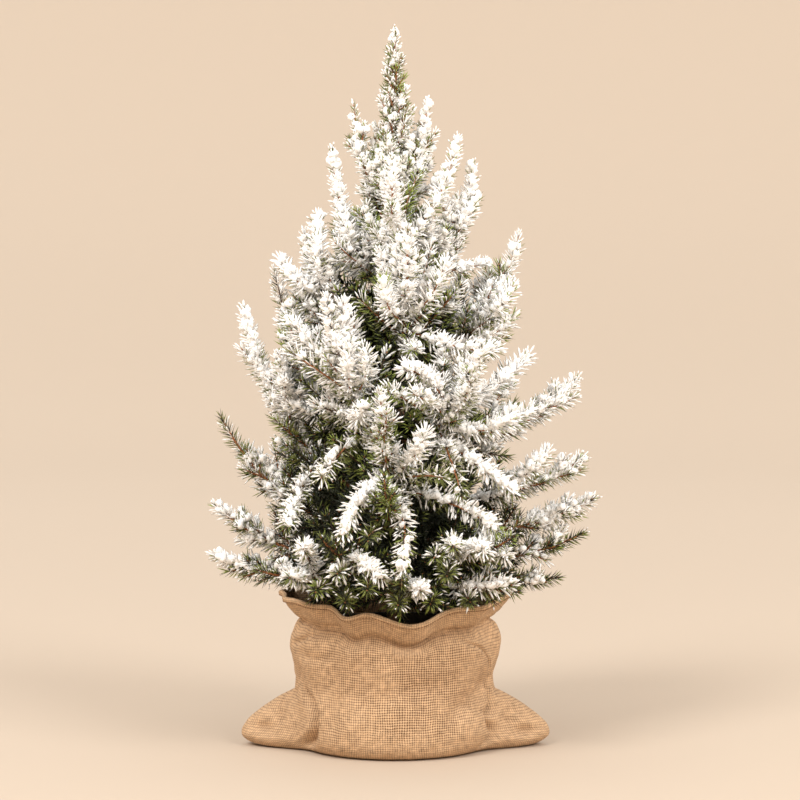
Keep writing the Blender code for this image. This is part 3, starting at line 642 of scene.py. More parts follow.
@functools.lru_cache(maxsize=None)
def weave_group():
    """Plain weave over a flat place in metres.

    Threads run both ways at one pitch. A point's distance from the middle of a thread, from 0
    to 1 half-way to the next, is its distance across; it grows where noise makes the thread
    thin. A dark gap opens where the lesser of both distances is great, more where the cloth is
    loose; its dark is painted shade of the inside seen through the weave, with the dark pot.
    A groove darkens the cloth by the cube of the greater one, as painted shade between threads.
    Threads rise over each other in turn, by a cosine. Hollows of the cloth are darkened as a
    whole, as painted shade.
    """
    inputs = (("Place", "NodeSocketVector", None), ("Pitch", "NodeSocketFloat", 0.0023),
              ("Loose", "NodeSocketFloat", 0.5), ("Hollow", "NodeSocketFloat", 0.0),
              ("Thread", "NodeSocketColor", None), ("Gap", "NodeSocketColor", None))
    outputs = (("Colour", "NodeSocketColor"), ("Height", "NodeSocketFloat"))
    graph, given, made = node_group("weave", inputs, outputs)
    maths = graph.maths
    wobble = graph.noise(given["Place"], WOBBLE_SCALE, 2.0)
    shift = graph.vectors("SUBTRACT", {0: wobble.outputs["Color"], 1: (0.5, 0.5, 0.5)})
    shift = graph.vectors("SCALE", {0: shift.outputs[0], "Scale": WOBBLE_REACH})
    place = graph.vectors("ADD", {0: given["Place"], 1: shift.outputs[0]})
    split = graph.put("ShaderNodeSeparateXYZ", {0: place.outputs[0]})
    distances, heights, tones = [], [], []
    for axis in (0, 1):
        across = maths("DIVIDE", split.outputs[axis], given["Pitch"])
        lengthways = maths("DIVIDE", split.outputs[1 - axis], given["Pitch"])
        thread = maths("FLOOR", across)
        where = graph.put("ShaderNodeCombineXYZ", {
            0: maths("MULTIPLY", thread, THREAD_STEPS[0] + THREAD_STEPS[1] * axis),
            1: maths("MULTIPLY", lengthways, THREAD_PACE),
            2: THREAD_APART * axis})
        noise = graph.noise(where.outputs[0], THREAD_SCALE, 3.0).outputs["Fac"]
        tones.append(noise)
        off = maths("ABSOLUTE", maths("MULTIPLY_ADD", maths("FRACT", across), 2.0, -1.0))
        off = maths("MULTIPLY", off, maths("MULTIPLY_ADD", noise, *THREAD_THIN))
        distances.append(off)
        phase = maths("MULTIPLY", maths("ADD", lengthways, maths("ADD", thread, float(axis))), math.pi)
        over = maths("MULTIPLY_ADD", maths("COSINE", phase), *THREAD_RIDE)
        heights.append(maths("MULTIPLY", maths("SUBTRACT", 1.0, maths("MULTIPLY", off, off)), over))
    # Gaps open here and turn to the gap colour: painted shade of the inside seen through the weave
    width = maths("MULTIPLY_ADD", given["Loose"], *GAP_WIDTH)
    hole = graph.ranged(
        maths("MINIMUM", *distances), maths("SUBTRACT", 1.0, width),
        maths("MULTIPLY_ADD", width, GAP_DARKEST, 1.0), interpolation_type="SMOOTHSTEP")
    hole = maths("MULTIPLY", hole, maths("MULTIPLY_ADD", given["Loose"], *GAP_DARKNESS))
    groove = maths("POWER", maths("MINIMUM", maths("MAXIMUM", *distances), 1.0), GROOVE_POWER)
    tone = graph.ranged(maths("ADD", *tones), *TONE_NOISE, *TONE_LEVELS)
    # Painted shade between threads: the groove darkens the tone
    tone = maths("MULTIPLY", tone, maths("MULTIPLY_ADD", groove, GROOVE_PAINTED_SHADE, 1.0))
    tinted = graph.put("ShaderNodeMix", {0: 1.0, 6: given["Thread"], 7: tone},
                       data_type="RGBA", blend_type="MULTIPLY").outputs[2]
    # Painted shade: the hollows of the cloth darken toward the gap colour
    hole = maths("MAXIMUM", hole, maths("MULTIPLY", given["Hollow"], HOLLOW_PAINTED_SHADE))
    height = maths("MULTIPLY", maths("MAXIMUM", *heights), maths("SUBTRACT", 1.0, hole))
    graph.feed(made, {"Colour": graph.blend(hole, tinted, given["Gap"]), "Height": height})
    return graph.tree


def new_finish(name, colour, roughness):
    """A material with one Principled shader of a plain colour."""
    finish = bpy.data.materials.new(name)
    finish.use_nodes = True
    graph, shader = shading(finish)
    graph.feed(shader, {"Base Color": (*colour, 1.0), "Roughness": roughness})
    return finish


def shading(finish):
    """The graph of a finish and its Principled shader."""
    return Graph(finish.node_tree), finish.node_tree.nodes["Principled BSDF"]


def patterned(finish, group, relief, inputs):
    """Gives a finish the colour of a node group, and its height as relief."""
    graph, shader = shading(finish)
    pattern = graph.put("ShaderNodeGroup", inputs, node_tree=group)
    bump = graph.put("ShaderNodeBump", {"Height": pattern.outputs["Height"], "Distance": relief})
    graph.feed(shader, {"Base Color": pattern.outputs["Colour"], "Normal": bump.outputs[0]})
    return finish


def mottled_finish(name, colour, tones, roughness, coarse, fine, relief):
    """A finish mottled by the grain group, between two tones of a colour, light and dark."""
    light, dark = (tuple(tone * c for c in colour) for tone in tones)
    grain = {"Light": (*light, 1), "Dark": (*dark, 1), "Coarse": coarse, "Fine": fine}
    return patterned(new_finish(name, light, roughness), grain_group(), relief, grain)


# Trunk, boughs and the space of the crown


def trunk_axis(height):
    """The middle of the trunk at heights: upright, with one slight sway."""
    height = np.asarray(height, float)
    share = (height - SOIL_TOP_Z) / (TRUNK_TOP_Z - SOIL_TOP_Z)
    sway = TRUNK_SWAY * np.sin(math.pi * SWAY_HALF_WAVES * share)
    return np.stack((sway, SWAY_TO_BACK * sway, height), axis=-1)


def trunk_radius(height):
    """Radius of the trunk: its tip's, and more by the share left to the top ** TRUNK_TAPER."""
    share = np.clip(1 - (height - SOIL_TOP_Z) / (TRUNK_TOP_Z - SOIL_TOP_Z), 0, 1)
    return TRUNK_TIP_R + (TRUNK_BASE_R - TRUNK_TIP_R) * share**TRUNK_TAPER


@functools.lru_cache(maxsize=None)
def plan_boughs():
    """The tier and the curve of each bough, by the rule of the solids, the leader last.

    A bough leaves its foot on the trunk level and turns up to its tip. Its azimuth, reach and
    height are shaken a little, but for the two at the sides of each tier.
    """
    rng = np.random.default_rng(PLAN_SEED)
    tiers, curves = [], []
    for tier, (front, back, foot_z, left_reach, left_tip, right_reach, right_tip) in enumerate(TIERS):
        turns = [0.0, 180.0]
        turns += [-180.0 * (k + 1) / (front + 1) for k in range(front)]
        turns += [180.0 * (k + 1) / (back + 1) for k in range(back)]
        for place, azimuth in enumerate(turns):
            shake = rng.uniform(-1, 1, 3) * (place > 1)
            turn = math.radians(azimuth + AZIMUTH_JITTER * shake[0])
            right = 0.5 + 0.5 * math.cos(turn)
            reach = between((left_reach, right_reach), right) * (1 + REACH_JITTER * shake[1])
            tip_z = between((left_tip, right_tip), right) + HEIGHT_JITTER * shake[2]
            foot = trunk_axis(foot_z + (FOOT_STAGGER if place in (2, 4) else -FOOT_STAGGER))
            out = np.array((math.cos(turn), math.sin(turn), 0.0))
            bend = foot + CURVE_OUT * reach * out + CURVE_UP * (tip_z - foot[2]) * UP
            tiers.append(tier)
            curves.append((foot, bend, reach * out + tip_z * UP))
    base, top = trunk_axis(LEADER_BASE_Z), TREE_TOP_Z * UP
    tiers.append(len(TIERS))
    curves.append((base, 0.5 * (base + top), top))
    return np.array(tiers), np.array(curves)


@functools.lru_cache(maxsize=None)
def stem_curves():
    """The stem that carries each bough's twigs: the bough, with its end turned up more.

    Its bend moves out by STEM_UPTURN of the level distance that is left to the tip.
    """
    tiers, boughs = plan_boughs()
    stems = boughs.copy()
    stems[:, 1, :2] += np.array(STEM_UPTURN)[tiers, None] * (boughs[:, 2, :2] - boughs[:, 1, :2])
    return stems


def body_radius(height):
    """Radius of the crown's body: a rounded cone that tucks in above the sack."""
    rise = np.clip((height - BODY_WIDE_Z) / (BODY_TOP_Z - BODY_WIDE_Z), 0.0, 1.0)
    tuck = np.clip((BODY_WIDE_Z - height) / BODY_TUCK_OVER, 0.0, 1.0)
    return (LEADER_R + BODY_R * (1 - rise**BODY_ROUND)) * (1 - BODY_TUCK * tuck**2)


def corner(turn):
    """1 at the sack's two side seams, falling off fast to 0 between them."""
    return np.abs(np.cos(turn)) ** CORNER_SHARPNESS


def rim_dip(turn):
    """How far the rim dips: a sum of bells exp(-(angle off / width)^2) times depth."""
    total = 0.0 * turn
    for azimuth, width, depth in RIM_DIPS:
        total = total + depth * bell(degrees_off(turn, azimuth) / width)
    return total


def rim_rise(turn):
    """How far the rim stands above its mean height at an azimuth."""
    return RIM_CORNER_LIFT * corner(turn) + RIM_LIFT - rim_dip(turn)


# Hollows that no twig grows into: middle and half sizes
CROWN_GAPS = (
    ((0.004, -0.125, 0.372), (0.014, 0.07, 0.046)),
    ((-0.088, -0.09, 0.308), (0.016, 0.05, 0.016)),
    ((0.125, -0.06, 0.288), (0.012, 0.05, 0.014)),
    ((0.06, 0.12, 0.33), (0.022, 0.07, 0.04)),
)
POINTS_AT_ONCE = 4000
LIMB_STEPS = 18
CELL_OVERLAP = 0.014
NEEDLE_MARGIN = 0.008
SPIRE_MARGIN = 0.002
# Radius of the crown between its side plumes, by height
TOP_EDGE = (
    (0.44, 0.13), (0.48, 0.105), (0.5, 0.088), (0.52, 0.064), (0.54, 0.046), (0.56, 0.039),
    (0.6, 0.034), (0.64, 0.026), (0.68, 0.018), (0.7, 0.013), (0.722, 0.008),
)


def stem_marks():
    """Points evenly spaced by share along each stem."""
    return along(stem_curves(), np.linspace(0, 1, LIMB_STEPS))


def least_gaps(points, chains):
    """The least distance from each point to each chain of marks, some points at a time."""
    gaps = np.empty((len(points), len(chains)))
    for first in range(0, len(points), POINTS_AT_ONCE):
        part = slice(first, first + POINTS_AT_ONCE)
        gaps[part] = np.linalg.norm(points[part, None, None] - chains, axis=3).min(axis=2)
    return gaps


def in_space(points, owners, wide):
    """Whether points keep to the crown and near enough to the cell of their own bough.

    The crown's edge is its radius times wide, less the length that needles stand out by.
    """
    gaps = least_gaps(points, stem_marks())
    row = np.arange(len(points))
    own = gaps[row, owners]
    gaps[row, owners] = np.inf
    kept = own < gaps.min(axis=1) + CELL_OVERLAP
    height, away = points[:, 2], off_axis(points)
    edge = np.minimum(wide * body_radius(height), np.interp(height, *np.transpose(TOP_EDGE)))
    leader = owners == gaps.shape[1] - 1
    kept &= (away < edge - NEEDLE_MARGIN) | ((own < SPIRE_R - SPIRE_MARGIN) & ~leader)
    for middle, halves in CROWN_GAPS:
        kept &= np.linalg.norm((points - middle) / halves, axis=1) > 1
    rim = RIM_Z + rim_rise(np.arctan2(points[:, 1], points[:, 0])) + ABOVE_RIM
    floor = np.where(away > SACK_MOUTH_R, rim, ABOVE_SOIL_Z) + 0.5 * NEEDLE_MARGIN
    return kept & (height > floor) & (height < TREE_TOP_Z - NEEDLE_MARGIN)


# Plumes that stand out of the crown by themselves, read off the photo: where each starts, bends
# and ends, as column, row and share of the crown's radius, and how snowy it is
PHOTO_PLUMES = (
    ((385, 470, 0.55), (355, 488, 0.92), (341, 538, 1.0), 1.0),
    ((340, 546, 0.6), (358, 555, 0.95), (384, 580, 1.0), 1.0),
    ((392, 495, 0.6), (414, 526, 1.0), (401, 575, 1.02), 0.95),
    ((418, 570, 0.5), (420, 586, 0.9), (420, 590, 1.08), 0.9),
    ((345, 560, 0.5), (340, 570, 0.9), (337, 574, 1.05), 0.5),
    ((312, 538, 0.55), (305, 545, 0.9), (303, 549, 1.06), 1.0),
    ((458, 592, 0.5), (474, 590, 0.92), (511, 585, 1.02), 1.0),
    ((315, 582, 0.55), (305, 577, 0.9), (290, 578, 1.02), 0.9),
    ((450, 528, 0.55), (452, 538, 0.9), (453, 547, 1.05), 0.8),
    ((418, 485, 0.6), (419, 460, 0.95), (426, 433, 1.0), 1.0),
    ((326, 465, 0.55), (324, 470, 0.9), (321, 477, 1.04), 0.75),
    ((430, 468, 0.55), (437, 473, 0.9), (442, 478, 1.04), 0.35),
    ((374, 572, 0.5), (370, 583, 0.9), (367, 590, 1.1), 0.15),
    ((402, 588, 0.5), (400, 598, 0.9), (398, 605, 1.12), 0.0),
    ((440, 545, 0.5), (437, 552, 0.9), (434, 558, 1.05), 0.3),
    ((455, 560, 0.5), (450, 570, 0.9), (447, 576, 1.06), 0.1),
    ((470, 530, 0.55), (478, 540, 0.92), (485, 553, 1.02), 1.0),
    ((484, 535, 0.5), (492, 546, 0.85), (506, 558, 0.98), 0.9),
    ((332, 575, 0.5), (322, 584, 0.9), (316, 592, 1.06), 0.15),
    ((352, 588, 0.5), (346, 598, 0.9), (345, 603, 1.04), 0.0),
    ((428, 588, 0.5), (430, 598, 0.85), (431, 604, 1.0), 0.0),
    ((464, 588, 0.5), (466, 596, 0.85), (470, 602, 1.0), 0.1),
    ((365, 520, 0.55), (366, 530, 0.85), (368, 541, 1.0), 0.1),
    ((300, 480, 0.6), (292, 500, 0.9), (286, 528, 1.0), 0.9),
    ((440, 378, 0.6), (425, 366, 0.95), (404, 371, 1.02), 1.0),
    ((405, 400, 0.55), (398, 394, 0.9), (388, 391, 1.04), 0.55),
    ((432, 395, 0.6), (424, 398, 0.92), (414, 394, 1.04), 0.75),
    ((440, 352, 0.62), (468, 356, 0.95), (497, 350, 0.98), 1.0),
    ((342, 410, 0.62), (346, 380, 0.96), (351, 344, 1.0), 0.85),
    ((375, 400, 0.6), (374, 375, 0.94), (364, 350, 1.0), 0.75),
    ((350, 352, 0.62), (345, 330, 0.95), (343, 305, 1.03), 1.0),
    ((345, 392, 0.66), (322, 372, 0.95), (290, 352, 1.0), 0.55),
    ((338, 372, 0.66), (315, 348, 0.95), (285, 318, 1.02), 0.7),
    ((350, 440, 0.6), (352, 425, 0.94), (366, 406, 1.02), 1.0),
    ((385, 345, 0.6), (383, 315, 0.92), (384, 280, 1.0), 1.0),
    ((432, 335, 0.6), (437, 300, 0.94), (446, 262, 1.0), 0.75),
    ((470, 420, 0.6), (475, 400, 0.95), (468, 372, 1.02), 0.7),
    ((480, 450, 0.6), (500, 440, 0.94), (512, 412, 1.0), 0.85),
    ((500, 500, 0.6), (525, 480, 0.94), (548, 452, 0.98), 0.9),
    ((393, 300, 0.6), (396, 270, 0.94), (398, 236, 1.02), 0.8),
    ((318, 300, 0.7), (314, 262, 0.98), (318, 215, 1.12), 0.85),
    ((348, 262, 0.6), (345, 240, 0.92), (341, 208, 1.12), 0.85),
    ((318, 300, 0.66), (296, 290, 0.95), (280, 258, 1.04), 0.9),
    ((486, 335, 0.66), (500, 318, 0.96), (512, 287, 1.04), 0.85),
    ((432, 262, 0.6), (444, 215, 1.25), (458, 137, 1.75), 1.0),
    ((446, 235, 0.9), (466, 222, 1.2), (477, 197, 1.5), 0.95),
    ((440, 222, 0.9), (432, 205, 1.0), (440, 176, 1.15), 0.9),
)
# The depth that a sight line is tried at first, and how often it is tried anew
SIGHT_START_Y = -0.1
SIGHT_STEPS = 30
# Plumes given in metres
MORE_PLUMES = (
    ((0.05, -0.02, 0.345), (0.095, -0.05, 0.352), (0.132, -0.03, 0.392), 0.95),
    ((0.06, -0.04, 0.3), (0.1, -0.075, 0.305), (0.134, -0.06, 0.343), 0.95),
    ((0.05, -0.02, 0.385), (0.085, -0.045, 0.395), (0.12, -0.02, 0.433), 0.9),
    ((0.039, -0.06, 0.296), (0.081, -0.12, 0.289), (0.12, -0.1, 0.258), 0.9),
    ((0.049, -0.07, 0.262), (0.072, -0.13, 0.255), (0.1, -0.13, 0.225), 0.8),
    ((0.045, -0.07, 0.3), (0.057, -0.14, 0.291), (0.063, -0.16, 0.263), 0.5),
)
PLUME_STRETCH = (0.45, 1.0)
PLUME_STEPS = 9
PLUME_CLEAR = 0.009
PLUME_FRONT = 0.08


def seen_at(column, row, share):
    """Where points seen in the photo stand, at shares of the crown's radius, to the millimetre.

    A ray leaves the camera through each pixel. Where it is at depth y, it gives x and z, and the
    crown's radius r at z gives the depth anew, y = -sqrt((share r)^2 - x^2), until it settles.
    """
    ahead = (PHOTO_MIDDLE - row) * math.sin(PHOTO_DROP) + PHOTO_FOCUS * math.cos(PHOTO_DROP)
    rise = (PHOTO_MIDDLE - row) * math.cos(PHOTO_DROP) - PHOTO_FOCUS * math.sin(PHOTO_DROP)
    y = np.full(column.shape, SIGHT_START_Y)
    for _ in range(SIGHT_STEPS):
        step = (y - PHOTO_CAMERA[1]) / ahead
        x = PHOTO_CAMERA[0] + step * (column - PHOTO_MIDDLE)
        z = PHOTO_CAMERA[2] + step * rise
        edge = np.minimum(body_radius(z), np.interp(z, *np.transpose(TOP_EDGE), left=np.inf))
        y = 0.0 - np.sqrt(np.maximum((share * edge) ** 2 - x**2, 0.0))
    return np.round(np.stack((x, y, z), axis=-1), 3)


@functools.lru_cache(maxsize=None)
def set_plumes():
    """The curves of the plumes, moved to start on the nearest stem, their stems and their snow.

    Those that end far enough in front stand behind the trunk once more, turned half round it.
    """
    seen = np.array([spots for *spots, _ in PHOTO_PLUMES], float)
    more = np.array([points for *points, _ in MORE_PLUMES])
    curves = np.concatenate((seen_at(*np.moveaxis(seen, -1, 0)), more))
    snow = np.array([row[-1] for row in PHOTO_PLUMES + MORE_PLUMES])
    again = curves[:, 2, 1] < -PLUME_FRONT
    curves = np.concatenate((curves, curves[again] * (-1, -1, 1)))
    snow = np.concatenate((snow, snow[again]))
    marks = stem_marks().reshape(-1, 3)
    near = np.linalg.norm(marks - curves[:, :1], axis=2).argmin(axis=1)
    curves[:, 0] = marks[near]
    return curves, near // LIMB_STEPS, snow


def clear_of_plumes(points):
    """Whether points keep off the outer stretch of each plume."""
    marks = along(set_plumes()[0], np.linspace(*PLUME_STRETCH, PLUME_STEPS)).reshape(1, -1, 3)
    return least_gaps(points, marks)[:, 0] > PLUME_CLEAR


# Twigs


Twigs = collections.namedtuple("Twigs", "curves owners levels catches given")

# Shoots: the stretch of a bough that bears them, their lean at its start and its end, their
# length as a share of the bough beyond them, and its limits
SHOOT_STRETCH = (0.12, 0.78)
SHOOT_LEANS = (60.0, 38.0)
SHOOT_SHARE = 0.7
SHOOT_LENGTHS = (0.022, 0.084)
SHOOT_CURL = 0.12
SHOOT_LEAST = 0.014
# For each tier and the leader: how much the shoots lift, and the share of the spacing they take
SHOOT_LIFT = (0.0, 0.2, 0.32, 0.42, 0.45, 0.45, 0.4, 0.35, 0.0)
SHOOT_SPACINGS = (0.66, 0.7, 0.74, 0.8, 0.85, 0.9, 1.0, 1.0, 1.0)
# How shoots vary: roll in radians, lean in degrees and share of their length
SHOOT_ROLLS = (-0.5, 0.5)
SHOOT_TILTS = (-8, 8)
SHOOT_SHARES = (0.8, 1.12)
# Shoots of the leader, from its foot to its top
LEADER_SHOOTS = 36
LEADER_STRETCH = (0.02, 0.84)
LEADER_END = 0.945
LEADER_LEANS = (46.0, 22.0)
LEADER_LENGTHS = (0.05, 0.015)
# Shoots that stand on the trunk itself, between the boughs
TRUNK_STRETCH = (0.145, 0.565)
TRUNK_SHOOTS = 96
TRUNK_LEANS = (84.0, 30.0)
TRUNK_LENGTHS = (0.094, 0.056)
# Twigs of a shoot, in the same terms, and how much they roll on from one shoot to the next
TWIG_STRETCH = (0.12, 0.66)
TWIG_LEAN = 46.0
TWIG_SHARE = 0.52
TWIG_LENGTHS = (0.01, 0.036)
TWIG_LEAST = 0.008
TWIG_LIFT = 0.14
TWIG_ROLLS = (-0.4, 0.4)
TWIG_TILTS = (-9, 9)
TWIG_SHARES = (0.75, 1.15)
TWIG_ROLL_ON = 2.4
# How far inside a bough's end its stem starts, and how far off the trunk where there is none
STEM_TUCK = 0.02
CUT_STEPS = 10
CUT_LEAST = 0.01
EDGE_JITTER = (0.84, 1.04)
GROWTH_SEED = 7


def dealt(counts):
    """Deals children to parents: for each its parent, its number there and its share of the way."""
    parents = np.repeat(np.arange(len(counts)), counts)
    order = np.arange(len(parents)) - np.repeat(np.cumsum(counts) - counts, counts)
    return parents, order, (order + 0.5) / counts[parents]


def sprout(curves, places, rolls, leans, sizes, lift):
    """Curves that leave their parents: off the heading by a lean, on the side that a roll gives,
    raised by lift and curled up by SHOOT_CURL of their size."""
    root, ahead, level, upright = seats(curves, places)
    side = turned(level, upright, rolls)
    out = unit(turned(ahead, side, leans) + lift[:, None] * UP)
    size = sizes[:, None]
    return np.stack((root, root + 0.5 * size * out, root + size * out + SHOOT_CURL * size * UP), axis=1)


def cut_to_space(curves, owners, wide, least):
    """Cuts each curve where it first leaves the crown, and drops those left too short."""
    steps = np.linspace(0, 1, CUT_STEPS + 1)[1:]
    points = along(curves, steps).reshape(-1, 3)
    good = in_space(points, np.repeat(owners, CUT_STEPS), np.repeat(wide, CUT_STEPS))
    good &= clear_of_plumes(points)
    good = good.reshape(-1, CUT_STEPS)
    reached = np.where(good.all(axis=1), CUT_STEPS, good.argmin(axis=1)) / CUT_STEPS
    cut = stretch(curves, 0 * reached, np.maximum(reached, CUT_LEAST))
    kept = lengths(cut) * (reached > 0) > least
    return cut[kept], kept


def grow_shoots(spacing, rng):
    """The shoots of the boughs, of the leader and of the bare stretch of the trunk, each a golden
    turn on from the last, with the bough that each belongs to."""
    tiers, boughs = plan_boughs()[0], stem_curves()
    low, high = TRUNK_STRETCH
    trunk = trunk_axis(np.array((low, 0.5 * (low + high), high)))
    parents_of = np.concatenate((boughs, trunk[None]))
    tiers = np.append(tiers, len(TIERS))
    spacing = spacing * np.array(SHOOT_SPACINGS)[tiers]
    counts = (lengths(parents_of) * (SHOOT_STRETCH[1] - SHOOT_STRETCH[0]) / spacing).astype(int)
    counts[-2:] = LEADER_SHOOTS, TRUNK_SHOOTS
    parents, order, share = dealt(counts)
    leader, stem = parents == len(boughs) - 1, parents == len(boughs)

    def by_parent(on_bough, on_leader, on_trunk):
        return np.where(stem, on_trunk, np.where(leader, on_leader, on_bough))

    places = by_parent(between(SHOOT_STRETCH, share), between(LEADER_STRETCH, share), share)
    rolls = order * GOLDEN_TURN + rng.uniform(*SHOOT_ROLLS, len(parents))
    leans = by_parent(*(between(ends, share) for ends in (SHOOT_LEANS, LEADER_LEANS, TRUNK_LEANS)))
    leans = leans + rng.uniform(*SHOOT_TILTS, len(parents))
    beyond = lengths(parents_of)[parents] * (1 - places)
    sizes = by_parent(np.clip(SHOOT_SHARE * beyond, *SHOOT_LENGTHS),
                      between(LEADER_LENGTHS, share), between(TRUNK_LENGTHS, share))
    sizes = sizes * rng.uniform(*SHOOT_SHARES, len(parents))
    lift = np.array(SHOOT_LIFT)[tiers[parents]]
    shoots = sprout(parents_of[parents], places, rolls, np.radians(leans), sizes, lift)
    nearest = least_gaps(point_on(shoots, 0.5), stem_marks()).argmin(axis=1)
    owners = np.where(stem, nearest, parents)
    wide = rng.uniform(*EDGE_JITTER, len(parents))
    shoots, kept = cut_to_space(shoots, owners, wide, SHOOT_LEAST)
    return shoots, owners[kept], wide[kept]


def grow_side_twigs(shoots, owners, wide, spacing, rng):
    """The twigs of the shoots, and the shoot that each stands on."""
    counts = (lengths(shoots) * (TWIG_STRETCH[1] - TWIG_STRETCH[0]) / spacing + 0.5).astype(int)
    parents, order, share = dealt(counts)
    places = between(TWIG_STRETCH, share)
    rolls = order * GOLDEN_TURN + TWIG_ROLL_ON * parents + rng.uniform(*TWIG_ROLLS, len(parents))
    leans = np.radians(TWIG_LEAN + rng.uniform(*TWIG_TILTS, len(parents)))
    beyond = lengths(shoots)[parents] * (1 - places)
    sizes = np.clip(TWIG_SHARE * beyond, *TWIG_LENGTHS) * rng.uniform(*TWIG_SHARES, len(parents))
    lift = np.full(len(parents), TWIG_LIFT)
    twigs = sprout(shoots[parents], places, rolls, leans, sizes, lift)
    twigs, kept = cut_to_space(twigs, owners[parents], wide[parents], TWIG_LEAST)
    return twigs, parents[kept]


@functools.lru_cache(maxsize=None)
def grow_twigs(shoot_spacing, twig_spacing):
    """Every twig: its curve, its bough, its level, its chance to catch snow, from 0 to 1, and
    the snow given to it, or -1.

    Level 0 is the stem of each bough, level 1 a shoot or plume and level 2 a twig of a shoot,
    which catches snow as its shoot does.
    """
    tiers, boughs = plan_boughs()[0], stem_curves()
    rng = np.random.default_rng(GROWTH_SEED)
    shoots, owners, wide = grow_shoots(shoot_spacing, rng)
    twigs, parents = grow_side_twigs(shoots, owners, wide, twig_spacing, rng)
    start = np.where(tiers < TIERS_WITH_BOUGHS, BOUGH_SHARE - STEM_TUCK, STEM_TUCK)
    end = np.full(len(boughs), 1.0)
    end[-1] = LEADER_END
    stems = stretch(boughs, start, end)
    plumes, plume_owners, snow = set_plumes()
    levels = np.repeat((0, 1, 2, 1), (len(stems), len(shoots), len(twigs), len(plumes)))
    stem_catches, shoot_catches = rng.uniform(size=len(stems)), rng.uniform(size=len(shoots))
    catches = np.concatenate((stem_catches, shoot_catches, shoot_catches[parents], 1 - snow))
    owners = np.concatenate((np.arange(len(stems)), owners, owners[parents], plume_owners))
    given = np.concatenate((np.full(len(owners) - len(plumes), -1.0), snow))
    return Twigs(np.concatenate((stems, shoots, twigs, plumes)), owners, levels, catches, given)


def all_twigs():
    """The grown twigs, at the spacings of the settings."""
    crown = bpy.context.scene.spruce_crown
    return grow_twigs(crown.shoot_spacing, crown.twig_spacing)


# Twigs nearer the trunk than this share of the crown's radius are old; their dark colour is old bark and
# painted shade
OLD_PAINTED_SHADE_TWIG_SHARE = 0.62
# For each level: the widths at the start and the end, the rings and the sides
STEM_WIDTHS = ((0.0022, 0.0009), (0.0011, 0.0006), (0.0008, 0.0005))
STEM_STEPS = (10, 4, 2)
STEM_SIDES = (6, 5, 4)
BANDS = (("lower", 0, 1), ("middle", 2, 3), ("upper", 4, 5), ("top", 6, len(TIERS)))


def band_of(owners):
    """The number of the band of tiers that each bough belongs to."""
    tiers = plan_boughs()[0][owners]
    return np.array([k for tier in range(len(TIERS) + 1)
                     for k, (_, low, high) in enumerate(BANDS) if low <= tier <= high])[tiers]


def nodes_of(band):
    """The names of the solids of foliage in a band."""
    tiers = plan_boughs()[0]
    names = [f"foliage_{k + 1:02d}" for k in range(len(tiers) - 1)] + ["leader_foliage"]
    low, high = BANDS[band][1:]
    return [name for name, tier in zip(names, tiers) if low <= tier <= high]


def add_bands(name, finish, slot_name, bands, chosen, skins_of, replaces_nodes=False):
    """Adds a piece for each band that has chosen members, whose points and faces skins_of gives."""
    for band, (label, _, _) in enumerate(BANDS):
        on = chosen & (bands == band)
        if on.any():
            mesh = mesh_of(f"{name}_{label}", *skins_of(on))
            add_piece(mesh.name, mesh, finish, slot_name, *(nodes_of(band) if replaces_nodes else ()))


# Snow


# Bare hollows: azimuth in degrees, height, half width, half height
HOLLOWS = (
    (-90.0, 0.364, 0.034, 0.052),
    (-91.0, 0.26, 0.015, 0.016),
    (-100.0, 0.208, 0.036, 0.032),
    (-128.0, 0.222, 0.03, 0.022),
    (-128.0, 0.304, 0.022, 0.014),
    (-67.0, 0.245, 0.026, 0.026),
    (-70.0, 0.168, 0.048, 0.03),
    (-106.0, 0.16, 0.06, 0.014),
    (-27.0, 0.292, 0.02, 0.018),
    (70.0, 0.26, 0.034, 0.03),
    (120.0, 0.22, 0.04, 0.026),
    (95.0, 0.35, 0.022, 0.03),
    (30.0, 0.215, 0.036, 0.026),
    (160.0, 0.255, 0.03, 0.026),
)
# Heights over which the snow spreads to nearly all twigs
SNOW_HEIGHTS = (0.175, 0.345)
# Heights over which the crown turns into a snowy spire, and the spire into the leader
SPIRE_HEIGHTS = (0.4, 0.54)
LEADER_HEIGHTS = (0.54, 0.66)
# Share of the crown's radius where snow starts and where it is full, and how much sooner that
# is high in the crown, in the spire and in the leader
SNOW_EDGES = (0.66, 0.84)
SNOW_SOONER = (0.14, 0.45, 0.6)
# Patches of the snow's edge and of its heights: strength, size and seed
SNOW_PATCHES = (0.18, 0.05, 3)
SNOW_LINE_PATCHES = (0.02, 0.09, 5)
AMOUNT_SHARE = 0.3
# Share of the twigs that catch snow low in the crown and high in it
CATCH_SHARE = (0.1, 0.98)
CATCH_SOFT = 0.08
# How much higher a twig at the sides of the crown counts than one at its front or back
SIDE_LIFT = 0.045


def patches(points, strength, size, seed):
    """Smooth noise of a strength."""
    return strength * ripple(points, size, seed)


